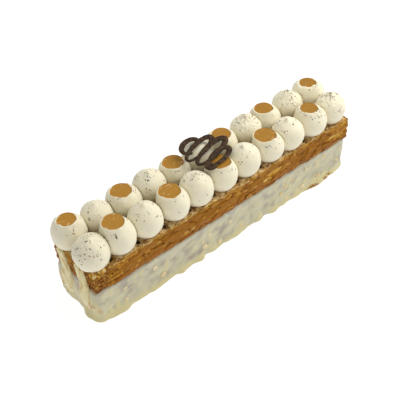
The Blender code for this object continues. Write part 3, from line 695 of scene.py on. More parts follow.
def pastry_place(point):
    """A point of the slab with its relief, and what its material reads: crevice shade, tone, top and height.
    """
    spot = point.copy()
    up = (point.z - PASTRY_BOTTOM) / MM
    share = (point.z - PASTRY_BOTTOM) / (PASTRY_TOP - PASTRY_BOTTOM)
    edge = 0.1 * MM
    gap_x = (PASTRY_RIGHT - PASTRY_LEFT) / 2 - abs(point.x - PASTRY_MIDDLE)
    gap_y = PASTRY_WIDTH / 2 - abs(point.y)
    crevice = 0.0
    tone = 0.5
    rough = broken_corner(point, ROUGH_REACH)
    undercut = UNDERCUT * clamp(1 - up / UNDERCUT_HEIGHT)
    if gap_y < edge:
        depth, crevice, tone = leaf_relief(point.x / MM, up, 3.0 if point.y < 0 else 33.0, rough)
        spot.y -= math.copysign((depth + undercut) * MM, point.y)
    if gap_x < edge:
        depth, crevice, tone = leaf_relief(point.y / MM, up, 63.0 if point.x < 0 else 93.0, rough)
        spot.x -= math.copysign((depth + undercut) * MM, point.x - PASTRY_MIDDLE)
    if min(gap_x, gap_y) < edge:
        spot.xy += BROKEN_OFF * broken_corner(point, BROKEN_REACH) * (0.3 + share)
    top = 0.0
    if point.z > PASTRY_TOP - edge:
        depth, crevice, tone, top = top_relief(point, min(gap_x, gap_y) / MM)
        spot.z -= depth * MM
    return skewed(spot) + BAR_MIDDLE, (crevice, tone, top, share)


slab = edit_new(bpy.ops.mesh.primitive_cube_add, size=1)
bpy.ops.transform.resize(value=(PASTRY_RIGHT - PASTRY_LEFT, PASTRY_WIDTH, PASTRY_TOP - PASTRY_BOTTOM))
bpy.ops.transform.translate(value=(PASTRY_MIDDLE, 0, (PASTRY_BOTTOM + PASTRY_TOP) / 2))
for axis, cuts in enumerate(PASTRY_CUTS):
    select_where(slab, "EDGE", lambda edge: abs(edge.verts[0].co[axis] - edge.verts[1].co[axis]) > 10 * MM)
    bpy.ops.mesh.subdivide(number_cuts=cuts)
select_where(slab, "EDGE", lambda edge: abs(edge.verts[0].co.x - edge.verts[1].co.x) > 2 * MM)
bpy.ops.mesh.subdivide(number_cuts=3)
select_where(slab, "FACE", lambda face: face.normal.z < -0.5)
bpy.ops.mesh.dissolve_faces()
end_edit(slab, "puff_pastry")
layers = []
for vertex in slab.data.vertices:
    vertex.co, values = pastry_place(vertex.co)
    layers.append(values)
for name, values in zip(("crevice", "tone", "top", "up"), zip(*layers)):
    store(slab, name, values)

pastry, tree, shader = new_material("caramelised puff pastry", 0.45, Specular_IOR_Level=0.1)
crevice, tone, top, up = (stored(tree, name) for name in ("crevice", "tone", "top", "up"))
# The side's colour by tone; its lightest stops carry the painted highlights of the leaves' upper edges.
side = ramp(
    tree,
    tone,
    (0.08, screen(158, 102, 20)),
    (0.30, screen(184, 130, 36)),
    (0.50, screen(202, 152, 54)),
    (0.68, screen(218, 178, 88)),
    (0.88, screen(234, 206, 134)),
)
wavy = noise_of(tree, 7 * MM, stretch=(3, 3, 1))
low_band = worked(tree, "MULTIPLY_ADD", wavy, -0.35, up)
side = mixed(tree, spots(tree, low_band, 0.16, -0.04), side, screen(160, 100, 30))
# Painted shade: the side's crevices and holes are darkened.
side = mixed(tree, spots(tree, crevice, 0.25, 1.0), side, screen(118, 68, 12))
crust = ramp(
    tree,
    noise_of(tree, 3.2 * MM, 4.0),
    (0.34, screen(124, 82, 40)),
    (0.46, screen(186, 146, 90)),
    (0.60, screen(222, 200, 152)),
)
# Painted shade: the gaps where two domes meet and the crumbled corner's pits are painted near black.
crust = mixed(tree, spots(tree, crevice, 0.1, 0.9), crust, screen(34, 20, 8))
tone_surface(tree, shader, mixed(tree, top, side, crust), 2.6 * MM, 0.45)
grain_surface(tree, shader, 1.5 * MM, 0.22 * MM)
slab.data.materials.append(pastry)
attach(slab, "root")
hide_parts("pastry_slab")


# Single leaves of the pastry stand loose: curved flakes on the sides, and pale edges along the top rim.
# Each is a thin sheet of baked dough that the oven lifted, still held by the leaves under it.
FLAKES = 60
EDGE_LEAVES = 80
LEAF_THICKNESS = 0.22 * MM
LEAF_SUNK = 0.75 * MM
LEAF_AT_BREAK = 4.0 * MM
EDGE_AT_BREAK = 5.5 * MM
# Of flakes and of edge leaves: lowest and highest place in shares of the slab's height, length, height, and
# how far they stand out
FLAKE_KIND = (0.12, 0.92, 9 * MM, 2.8 * MM, 0.1 * MM)
EDGE_KIND = (0.93, 0.99, 7 * MM, 1.3 * MM, 0.3 * MM)


def side_spot(rng, up_low, up_high):
    """A random place on the pastry's four sides, and the way it faces."""
    length = PASTRY_RIGHT - PASTRY_LEFT
    z = PASTRY_BOTTOM + (PASTRY_TOP - PASTRY_BOTTOM) * rng.uniform(up_low, up_high)
    if rng.random() < PASTRY_WIDTH / (PASTRY_WIDTH + length):
        side = rng.choice((-1, 1))
        x = PASTRY_LEFT if side < 0 else PASTRY_RIGHT
        return Vector((x, rng.uniform(-0.38, 0.38) * PASTRY_WIDTH, z)), Vector((side, 0, 0))
    side = rng.choice((-1, 1))
    x = rng.uniform(PASTRY_LEFT + 6 * MM, PASTRY_RIGHT - 6 * MM)
    return Vector((x, side * PASTRY_WIDTH / 2, z)), Vector((0, side, 0))


def leaf_place(rng, up_low, up_high, long, tall, proud):
    """A matrix for one loose leaf: its X along the side, its Y up and its Z out of the side."""
    spot, facing = side_spot(rng, up_low, up_high)
    broken = broken_corner(spot, BROKEN_REACH)
    inward = LEAF_SUNK + LEAF_AT_BREAK * broken - proud
    along = Vector((0, 0, 1)).cross(facing)
    side_axes = Matrix((along, Vector((0, 0, 1)), facing)).transposed().to_4x4()
    tilt = Matrix.Rotation(rng.gauss(0.06, 0.12), 4, "Z") @ Matrix.Rotation(rng.uniform(-0.5, 0.15), 4, "X")
    size = Matrix.Diagonal((long * rng.uniform(0.5, 1.2), tall * rng.uniform(0.6, 1.2), 1, 1))
    point = skewed(spot - facing * inward) + BAR_MIDDLE
    if up_low > 0.8:
        point.z -= EDGE_AT_BREAK * broken
    return Matrix.Translation(point) @ side_axes @ tilt @ size


flake = edit_new(bpy.ops.mesh.primitive_grid_add, x_subdivisions=8, y_subdivisions=3, size=1)
for vertex in bmesh.from_edit_mesh(flake.data).verts:
    narrow = 1 - 0.75 * abs(2 * vertex.co.x) ** 3
    vertex.co.y *= narrow
    vertex.co.z = (0.35 * math.cos(math.pi * vertex.co.y) + 0.28 * math.sin(7 * vertex.co.x)) * MM
bpy.ops.mesh.select_all(action="SELECT")
bpy.ops.mesh.solidify(thickness=LEAF_THICKNESS)
end_edit(flake, "flake")
rng = random.Random(5)
leaves = [leaf_place(rng, *FLAKE_KIND) for _ in range(FLAKES)]
leaves += [leaf_place(rng, *EDGE_KIND) for _ in range(EDGE_LEAVES)]
tones = [rng.uniform(0.1, 0.5) for _ in range(FLAKES)]
tones += [rng.uniform(0.2, 0.85) for _ in range(EDGE_LEAVES)]
flakes = scattered("pastry_leaves", flake, leaves, tone=tones)
leaf_finish, tree, shader = new_material("pastry leaf", 0.5, Specular_IOR_Level=0.12)
leaf = ramp(
    tree,
    stored(tree, "tone"),
    (0.0, screen(166, 108, 28)),
    (0.3, screen(188, 132, 44)),
    (0.6, screen(196, 152, 84)),
    (0.8, screen(214, 180, 122)),
    (1.0, screen(228, 206, 158)),
)
tone_surface(tree, shader, leaf, 2.6 * MM, 0.3)
flakes.data.materials.append(leaf_finish)
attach(flakes, "root")


# Crumbs of the leaves lie on the slab between the domes and along its edges, pale or toasted dark. More of
# them hang at the broken corner, and the wet foot of the glaze caught some towards the right end.
CRUMBS = 1500
CORNER_CRUMBS = 420
CORNER_SPREAD = 9
CORNER_DEPTH = 19 * MM
FOOT_CRUMBS = (
    # crumbs that the foot caught: the middle of a group along the front, its spread in mm, and their number
    (100, 4.0, 44),
    (120, 3.0, 30),
)


def crumb_places():
    """A matrix and a tone for each crumb on the part of the top that no dome covers."""
    rng = random.Random(21)
    found = 0
    while found < CRUMBS:
        x = rng.uniform(PASTRY_LEFT + 1.5 * MM, PASTRY_RIGHT - 1.5 * MM)
        y = rng.uniform(-0.48, 0.48) * PASTRY_WIDTH
        spot = Vector((x, y, PASTRY_TOP))
        if clear_of_domes(spot) < 0.3 * MM or broken_corner(spot, 10 * MM) > 0.35:
            continue
        found += 1
        place, _ = pastry_place(spot)
        size = rng.uniform(0.35, 1.0) * MM
        facing = Vector((rng.gauss(0, 0.5), rng.gauss(0, 0.5), 1))
        wide = (size * rng.uniform(0.7, 1.5), size * rng.uniform(0.5, 1.0), size * rng.uniform(0.3, 0.8))
        yield placed(place, facing, rng.uniform(0, math.pi), wide), rng.random()
    for _ in range(CORNER_CRUMBS):
        off = [abs(rng.gauss(0, CORNER_SPREAD)) * MM for _ in range(3)]
        off[rng.choice((0, 1, 2))] = 0
        down = min(off[2], CORNER_DEPTH)
        spot = Vector((PASTRY_LEFT + off[0], off[1] - PASTRY_WIDTH / 2, PASTRY_TOP - down))
        if off[2] == 0 and clear_of_domes(spot) < 0:
            continue
        place, _ = pastry_place(spot)
        size = rng.uniform(0.5, 1.3) * MM
        facing = Vector((-1, -1, 1)) + Vector([rng.gauss(0, 0.6) for _ in range(3)])
        wide = (size * rng.uniform(0.8, 1.6), size, size * 0.5)
        yield placed(place, facing, rng.uniform(0, math.pi), wide), rng.uniform(0.05, 0.5)
    for x, spread, count in FOOT_CRUMBS:
        for _ in range(count):
            wall, facing = wall_place(Vector((rng.gauss(x, spread) * MM, -BLOCK_WIDTH / 2, 0)))
            height = clamp(abs(rng.gauss(1.3, 1.3)), 0.7, 5.0) * MM
            out = wall_offset(wall, facing, height) + fine_coat(wall, height, 0) + rng.uniform(-0.4, 0.2) * MM
            size = rng.uniform(0.4, 1.1) * MM
            place = skewed(wall + facing * out + Vector((0, 0, height + 0.4 * MM))) + BAR_MIDDLE
            wide = (size, size * 0.7, size * 0.4)
            yield placed(place, facing, rng.uniform(0, math.pi), wide), rng.uniform(0.1, 0.5)


crumb = edit_new(bpy.ops.mesh.primitive_ico_sphere_add, subdivisions=1, radius=1)
bpy.ops.transform.vertex_random(offset=0.25, uniform=1.0, seed=2)
end_edit(crumb, "crumb")
crumb_spots, crumb_tones = zip(*crumb_places())
crumbs = scattered("pastry_crumbs", crumb, crumb_spots, tone=crumb_tones)
crumb_finish, tree, shader = new_material("pastry crumb", 0.6, Specular_IOR_Level=0.2)
bit = ramp(
    tree,
    stored(tree, "tone"),
    (0.0, screen(118, 70, 20)),
    (0.25, screen(164, 110, 40)),
    (0.5, screen(204, 160, 86)),
    (0.8, screen(222, 200, 154)),
    (1.0, screen(230, 214, 174)),
)
tree.links.new(bit, shader.inputs["Base Color"])
crumbs.data.materials.append(crumb_finish)
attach(crumbs, "root")


# Two runs of glaze came over the left end. They hang over the pastry as thick yellowish ribbons with
# grooves along them, and their feet merge with the coat.
RUN_THICKNESS = 1.9 * MM
RUNS = (
    # y at the top, y at the foot, width at the top, in mm
    (15.0, 12.0, 10.6),
    (-10.0, -13.5, 11.2),
)
RUN_TOP = 56.2 * MM
RUN_FOOT = 9 * MM
RUN_FLARE = 0.55
RUN_BACK = 0.9 * MM
RUN_BURIED = 1.6 * MM
RUN_THINS = 26 * MM
RUN_MERGES = (34.5 * MM, 30.0 * MM)


def run_place(across, down, outside, top_y, foot_y, width):
    """A point of a run: across from -1 to 1, down from 0 to 1, on its outside or its back."""
    height = RUN_TOP + (RUN_FOOT - RUN_TOP) * down
    along = (RUN_TOP - height) / RUN_TOP
    wander = 0.8 * math.sin(5 * along + top_y) + 0.9 * noise.noise(Vector((along * 6, top_y, 1)))
    middle = top_y + (foot_y - top_y) * along + wander
    half = width / 2 * (0.9 + RUN_FLARE * along) * (1 - 0.4 * max(0.0, 1 - down / 0.06) ** 2)
    edge_wave = 0.24 * noise.noise(Vector((along * 9, top_y, across)))
    y = (middle + (across + edge_wave) * half) * MM
    round_off = math.sqrt(max(0.0, 1 - across ** 4))
    groove = 0.34 * noise.noise(Vector((across * 2.6, along * 2.3, top_y)))
    groove += 0.22 * noise.noise(Vector((across * 5.0, along * 6.5, top_y)))
    body = RUN_THICKNESS * (round_off + groove * round_off) * min(1.0, 0.5 + down / 0.05)
    wall = Vector((BLOCK_LEFT, y, 0))
    on_coat = wall.x - wall_offset(wall, Vector((-1, 0, 0)), height)
    merged = share_between(*RUN_MERGES, height)
    if outside:
        on_pastry = PASTRY_LEFT - body
        on_coat -= 0.9 * body * min(1.0, height / RUN_THINS)
    else:
        on_pastry = PASTRY_LEFT + RUN_BACK
        on_coat += RUN_BURIED
    return skewed(Vector((on_pastry + (on_coat - on_pastry) * merged, y, height))) + BAR_MIDDLE


run_glaze, tree, shader = new_material("glaze runs", 0.40, Specular_IOR_Level=0.3)
streak = noise_of(tree, 3.4 * MM, 3.0, stretch=(1, 1, 2.6))
run_colour = ramp(
    tree,
    streak,
    (0.32, screen(200, 164, 98)),
    (0.42, screen(220, 204, 148)),
    (0.62, screen(234, 224, 178)),
)
tree.links.new(run_colour, shader.inputs["Base Color"])
for number, (top_y, foot_y, width) in enumerate(RUNS):
    run = edit_new(bpy.ops.mesh.primitive_grid_add, x_subdivisions=22, y_subdivisions=60, size=2)
    bpy.ops.mesh.select_all(action="SELECT")
    bpy.ops.mesh.extrude_region_move(TRANSFORM_OT_translate={"value": (0, 0, 1)})
    bpy.ops.mesh.select_all(action="SELECT")
    bpy.ops.mesh.normals_make_consistent(inside=False)
    end_edit(run, f"glaze_run_{number + 1}")
    for vertex in run.data.vertices:
        across, down = vertex.co.x, 0.5 - vertex.co.y / 2
        vertex.co = run_place(across, down, vertex.co.z > 0.5, top_y, foot_y, width)
    run.data.materials.append(run_glaze)
    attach(run, "root")


# The domes are vanilla cream piped with a plain nozzle: full and smooth, with a soft tip where the nozzle
# was pulled off. Every second one was scooped with a warm spoon, which left a round hollow with a soft lip.
PLAIN_HEIGHT = 27.0 * MM
FILLED_HEIGHT = 26.2 * MM
FULLNESS = 0.85
USUAL_POINT = 0.34
WIDEST_AT = 11.6 * MM
SEAT_ANGLE = math.radians(44)
DOME_STEPS = 64
POOL_RADIUS = 8.9 * MM
POOL_LEVEL = 22.9 * MM
BOWL_DEPTH = 5.2 * MM
RIM_WIDTH = 1.6 * MM
RIM_HEIGHT = 1.15 * MM
RIM_RISE = 0.9 * MM
RIM_FALL = 1.5 * MM
DOME_BASE = PASTRY_TOP + 0.3 * MM
GAP = 0.12 * MM
PRESS_SOFT = 0.8 * MM
NOTCH_RISE = 1.3 * MM
NOTCH_WIDTH = 0.22
TIPS = {
    # where a plain dome's tip leans to (x, y), its height and width, how rough it is, in mm, and how pointed
    # the whole dome is
    "back_02": ((-0.3, 0.2), 1.2, 2.6, 0.3, 0.34),
    "back_04": ((0.2, -0.2), 1.4, 3.0, 0.3, 0.34),
    "back_06": ((0.4, 0.6), 1.0, 3.0, 0.0, 0.34),
    "back_08": ((0.2, 0.1), 2.4, 3.4, 1.6, 0.45),
    "back_10": ((-0.6, 0.3), 3.0, 5.2, 1.6, 0.95),
    "front_01": ((-0.3, 0.3), 0.8, 3.0, 0.5, 0.34),
    "front_03": ((0.2, 0.3), 1.7, 2.0, 0.1, 0.34),
    "front_05": ((0.3, -0.2), 1.6, 2.4, 0.1, 0.34),
    "front_07": ((-0.5, 0.4), 1.8, 2.2, 0.3, 0.34),
    "front_09": ((-0.9, 0.6), 2.9, 1.5, 0.2, 0.40),
    "front_11": ((0.3, 0.2), 2.6, 3.2, 1.8, 0.50),
}
HOLLOW_SHIFTS = {
    # how far a hollow's middle lies from its dome's, in mm
    "front_02": (-1.9, 1.4),
    "front_04": (-1.8, 1.4),
    "front_08": (-2.2, 1.6),
    "front_10": (-1.4, 1.1),
    "back_03": (-1.2, 0.9),
    "back_05": (-0.9, 0.7),
    "back_09": (-0.9, 0.7),
    "back_11": (-0.7, 0.5),
}
NOTCHES = {
    # where round a hollow, in degrees, a fold of its lip stands up over the caramel's edge
    "front_02": -160,
    "front_04": -165,
    "front_08": -85,
    "back_01": -160,
    "back_03": -149,
    "back_09": -82,
    "back_11": -95,
}


def turned(name, profile, steps):
    """A closed solid turned from a profile of (radius, height) points that starts and ends on the axis."""
    made = edit_new(bpy.ops.mesh.primitive_plane_add, size=1)
    bpy.ops.mesh.merge(type="CENTER")
    last = (0.0, 0.0)
    for point in profile[1:]:
        step = (point[0] - last[0], 0, point[1] - last[1])
        bpy.ops.mesh.extrude_region_move(TRANSFORM_OT_translate={"value": step})
        last = point
    bpy.ops.mesh.select_all(action="SELECT")
    bpy.ops.mesh.spin(steps=steps, angle=2 * math.pi, center=(0, 0, 0), axis=(0, 0, 1))
    bpy.ops.mesh.select_all(action="SELECT")
    bpy.ops.mesh.remove_doubles(threshold=1e-6)
    bpy.ops.mesh.normals_make_consistent(inside=False)
    return end_edit(made, name)


def shoulder(radius, height, angles, pointed=0.0):
    """Points of a dome's outside at these angles above its widest place, egg-shaped where it is pointed."""
    points = []
    for angle in angles:
        rounded, rise = math.cos(angle), math.sin(angle)
        if angle < 0:
            points.append((radius * rounded, WIDEST_AT * (1 + rise / math.sin(SEAT_ANGLE))))
        else:
            up = WIDEST_AT + (height - WIDEST_AT) * rise
            points.append((radius * rounded ** (FULLNESS + pointed * angle ** 2), up))
    return points


def steps_between(first, last, count):
    return [first + (last - first) * step / count for step in range(count + 1)]


UNDERSIDE = steps_between(-SEAT_ANGLE, 0, 11)[:-1]


def plain_profile(radius, higher, pointed):
    """A plain dome's outline, from the middle of its base to the middle of its top."""
    height = PLAIN_HEIGHT + higher
    angles = UNDERSIDE + steps_between(0, math.radians(88), 24)
    return [(0, 0)] + shoulder(radius, height, angles, pointed) + [(0, height)]


def filled_profile(radius, higher, pool):
    """A filled dome's outline, up over the soft lip of its hollow and down into the hollow."""
    level = POOL_LEVEL + higher
    edge = math.acos(((pool + RIM_WIDTH) / radius) ** (1 / FULLNESS))
    points = [(0, 0)] + shoulder(radius, FILLED_HEIGHT + higher, UNDERSIDE + steps_between(0, edge, 12))
    start = points[-1][1]
    for share in (0.2, 0.4, 0.6, 0.8, 1.0):
        up = start + (level + RIM_HEIGHT - start) * math.sin(share * math.pi / 2)
        points.append((pool + RIM_WIDTH - (RIM_WIDTH - 0.5 * MM) * share, up))
    inner_lip = ((0.26, 1.05), (0.1, 0.8), (0.02, 0.4), (0, 0))
    bowl = ((0.93, 0.2), (0.78, 0.45), (0.40, 0.85), (0, 1))
    points += [(pool + out * MM, level + up * MM) for out, up in inner_lip]
    return points + [(across * pool, level - down * BOWL_DEPTH) for across, down in bowl]


def tip_of(spot, tip, height):
    """The soft peak that the nozzle left on a plain dome, leaning over to one side."""
    (lean_x, lean_y), rise, width, rough, _ = tip
    upper = max(0.0, spot.z / height - 0.5) / 0.5
    around = math.hypot(spot.x - lean_x * MM, spot.y - lean_y * MM)
    peak = math.exp(-((around / (width * MM)) ** 2)) if spot.z > WIDEST_AT else 0.0
    place = Vector((spot.x, spot.y, 0)) / (3.4 * MM) + Vector((height * 900, 0, 0))
    ridge = 0.6 - 2.4 * abs(noise.noise(place))
    lift = rise * peak + 0.8 * rough * ridge * upper ** 2
    return spot + Vector((0.4 * lean_x * peak, 0.4 * lean_y * peak, lift)) * MM


def pressed(spot, centre, radius):
    """Flattens a dome where it meets its neighbours."""
    for other, other_radius in DOME_SIZES:
        distance = (other - centre).length
        if distance < MM or distance > radius + other_radius:
            continue
        direction = (other - centre) / distance
        limit = distance * radius / (radius + other_radius) - GAP / 2
        reach = (spot - centre).dot(direction)
        over = reach - limit + PRESS_SOFT
        if over > 0:
            spot = spot + direction * (limit - PRESS_SOFT * math.exp(-over / PRESS_SOFT) - reach)
    return spot


def far_share(spot):
    """How far to the back right of its hollow's middle a point lies: 1 at the rim there, -1 in front."""
    return (0.6 * spot.x + 0.8 * spot.y) / POOL_RADIUS


def rim_wave(spot, seed):
    """How the soft lip of a hollow rises and sinks round it: high in front, under the caramel at the back."""
    wave = noise.noise(Vector((spot.x, spot.y, 0)) / (4.2 * MM) + seed)
    wave += 0.4 * noise.noise(Vector((spot.x, spot.y, 0)) / (1.9 * MM) + seed)
    to_back = far_share(spot)
    return wave * MM * clamp(0.6 - to_back) - (RIM_FALL if to_back > 0 else RIM_RISE) * to_back


def hollow_shift(name):
    x, y = HOLLOW_SHIFTS.get(name, (0, 0))
    return Vector((x, y, 0)) * MM


def dome_place(across, up, turn, name, filled):
    """A point of a dome, from its place in the outline and round the axis, with its unevenness."""
    centre, radius = dome_size(name)
    _, _, higher, wider = UNEVEN_DOMES[name]
    pool = POOL_RADIUS + wider * MM
    level = POOL_LEVEL + higher * MM
    spot = Vector((across * math.cos(turn), across * math.sin(turn), up))
    seed = Vector((centre.x * 150, centre.y * 150, 0))
    inside = filled and across < pool + 0.05 * MM
    if filled and across > pool - 0.05 * MM:
        wave = rim_wave(spot, seed)
        if name in NOTCHES:
            aside = math.remainder(turn - math.radians(NOTCHES[name]), 2 * math.pi)
            wave += NOTCH_RISE * math.exp(-((aside / NOTCH_WIDTH) ** 2))
        spot.z += wave * share_between(level - 3 * MM, level, up)
    if not filled and up > 0:
        spot = tip_of(spot, TIPS[name], PLAIN_HEIGHT + higher * MM)
    if up > 0 and not inside:
        bump = 0.45 * noise.noise(spot / (9 * MM) + seed) + 0.12 * noise.noise(spot / (3.6 * MM) + seed)
        spot += Vector((spot.x, spot.y, spot.z - WIDEST_AT)).normalized() * bump * MM
    share = 1.0 if inside else share_between(WIDEST_AT, level, up)
    if filled:
        spot += hollow_shift(name) * share ** 2
    return pressed(spot + centre, centre, radius) + BAR_MIDDLE + Vector((0, 0, DOME_BASE))


def outline_places(template, outline):
    """For each vertex of a turned template, its point of the outline and its angle round the axis."""
    places = []
    for vertex in template.data.vertices:
        across, up = math.hypot(vertex.co.x, vertex.co.y), vertex.co.z
        gaps = [abs(radius - across) + abs(height - up) for radius, height in outline]
        places.append((gaps.index(min(gaps)), math.atan2(vertex.co.y, vertex.co.x)))
    return places


def copy_of(template, name):
    """A copy of a template with its own mesh."""
    made = template.copy()
    made.data = template.data.copy()
    made.name = name
    made.data.name = name
    bpy.context.scene.collection.objects.link(made)
    return made


def is_filled(name):
    """Hollows alternate along each row: the even ones in front, the odd ones behind."""
    row, number = name.split("_")
    return (int(number) % 2 == 0) == (row == "front")


def cream_copy(name):
    """One dome: a copy of the plain or the filled one, shaped by its own outline."""
    filled = is_filled(name)
    radius = dome_size(name)[1]
    _, _, higher, wider = UNEVEN_DOMES[name]
    if filled:
        outline = filled_profile(radius, higher * MM, POOL_RADIUS + wider * MM)
    else:
        outline = plain_profile(radius, higher * MM, TIPS[name][4])
    made = copy_of(filled_dome if filled else plain_dome, f"cream_{name}")
    for vertex, (index, turn) in zip(made.data.vertices, filled_places if filled else plain_places):
        vertex.co = dome_place(*outline[index], turn, name, filled)
    made.data.update()
    return made


cream, tree, shader = new_material(
    "vanilla cream", 0.5, Specular_IOR_Level=0.2, Subsurface_Weight=0.4, Subsurface_Scale=1.8 * MM
)
shader.inputs["Subsurface Radius"].default_value = (1.0, 0.9, 0.7)
fleck = add_node(tree, "TexVoronoi", {"Vector": add_node(tree, "TexCoord").outputs["Object"], "Scale": 300.0})
grouped = spots(tree, noise_of(tree, 11 * MM, 2.0), 0.46, 0.66)
faint = worked(tree, "MULTIPLY", spots(tree, fleck.outputs["Distance"], 0.16, 0.05), grouped)
body = mixed(tree, faint, screen(239, 232, 207), screen(188, 178, 150))
tone_surface(tree, shader, body, 6 * MM, 0.05)
grain_surface(tree, shader, 1.5 * MM, 0.06 * MM)

plain_outline = plain_profile(DOME_RADIUS, 0, USUAL_POINT)
filled_outline = filled_profile(DOME_RADIUS, 0, POOL_RADIUS)
plain_dome = turned("plain_dome", plain_outline, DOME_STEPS)
filled_dome = turned("filled_dome", filled_outline, DOME_STEPS)
plain_places = outline_places(plain_dome, plain_outline)
filled_places = outline_places(filled_dome, filled_outline)
domes = {}
for name in UNEVEN_DOMES:
    dome = cream_copy(name)
    dome.data.materials.append(cream)
    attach(dome, "root")
    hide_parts(f"dome_{name}")
    domes[name] = dome
bpy.data.objects.remove(plain_dome, do_unlink=True)
bpy.data.objects.remove(filled_dome, do_unlink=True)


# Soft caramel was poured into each hollow. It lies level and glossy, with a fine raised edge where it
# wets the cream.
# How strongly each pool shows pale lines: painted highlights where folds of the caramel's skin catch the
# light.
FOLD_GLINTS = {"back_01": 1.0, "front_02": 1.0, "front_04": 0.7, "back_05": 0.6, "front_08": 0.4}
LEAST_FOLD_GLINTS = 0.15
POOL_BEHIND = 0.12
pool_profile = [
    (0, POOL_LEVEL - 0.93 * BOWL_DEPTH),
    (0.38 * POOL_RADIUS, POOL_LEVEL - 0.79 * BOWL_DEPTH),
    (0.74 * POOL_RADIUS, POOL_LEVEL - 0.40 * BOWL_DEPTH),
    (0.90 * POOL_RADIUS, POOL_LEVEL - 0.17 * BOWL_DEPTH),
    (POOL_RADIUS - 0.04 * MM, POOL_LEVEL + 0.22 * MM),
    (POOL_RADIUS - 0.30 * MM, POOL_LEVEL + 0.06 * MM),
    (POOL_RADIUS - 0.9 * MM, POOL_LEVEL - 0.02 * MM),
    (0.6 * POOL_RADIUS, POOL_LEVEL),
    (0.3 * POOL_RADIUS, POOL_LEVEL + 0.05 * MM),
    (0, POOL_LEVEL + 0.05 * MM),
]
lowest = pool_profile[0][1]
pool_template = turned("pool", [(across, up - lowest) for across, up in pool_profile], DOME_STEPS)
caramel, tree, shader = new_material("soft caramel", 0.34, Specular_IOR_Level=0.07)
# Painted highlights: thin pale lines in patches, where folds of the skin would catch the light.
glint_line = worked(tree, "ABSOLUTE", worked(tree, "SUBTRACT", noise_of(tree, 7 * MM, 1.0), 0.5))
glint_patches = spots(tree, noise_of(tree, 4.5 * MM, 1.0), 0.48, 0.58)
painted_glint = worked(tree, "MULTIPLY", spots(tree, glint_line, 0.026, 0.008), glint_patches)
painted_glint = worked(tree, "MULTIPLY", painted_glint, stored(tree, "fold_glints"))
body = mixed(tree, stored(tree, "deeper"), screen(182, 133, 58), screen(160, 116, 48))
tone_surface(tree, shader, mixed(tree, painted_glint, body, screen(222, 190, 134)), 5 * MM, 0.12)
for name in filter(is_filled, UNEVEN_DOMES):
    pool = copy_of(pool_template, f"pool_{name}")
    centre, _ = dome_size(name)
    _, _, higher, wider = UNEVEN_DOMES[name]
    wide = 1 + wider * MM / POOL_RADIUS
    for vertex in pool.data.vertices:
        wider_back = wide * (1 + POOL_BEHIND * clamp(far_share(vertex.co)))
        spot = Vector((vertex.co.x * wider_back, vertex.co.y * wider_back, vertex.co.z)) + centre
        lump = 0.12 * MM * noise.noise(spot / (5 * MM)) if vertex.co.z > BOWL_DEPTH * 0.9 else 0.0
        spot += hollow_shift(name)
        vertex.co = spot + BAR_MIDDLE + Vector((0, 0, DOME_BASE + lowest + lump + higher * MM))
    corners = len(pool.data.vertices)
    store(pool, "fold_glints", [FOLD_GLINTS.get(name, LEAST_FOLD_GLINTS)] * corners)
    store(pool, "deeper", [(int(name.split("_")[1]) - 1) / 10] * corners)
    pool.data.materials.append(caramel)
    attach(pool, "root")
    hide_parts(f"caramel_{name}")
bpy.data.objects.remove(pool_template, do_unlink=True)


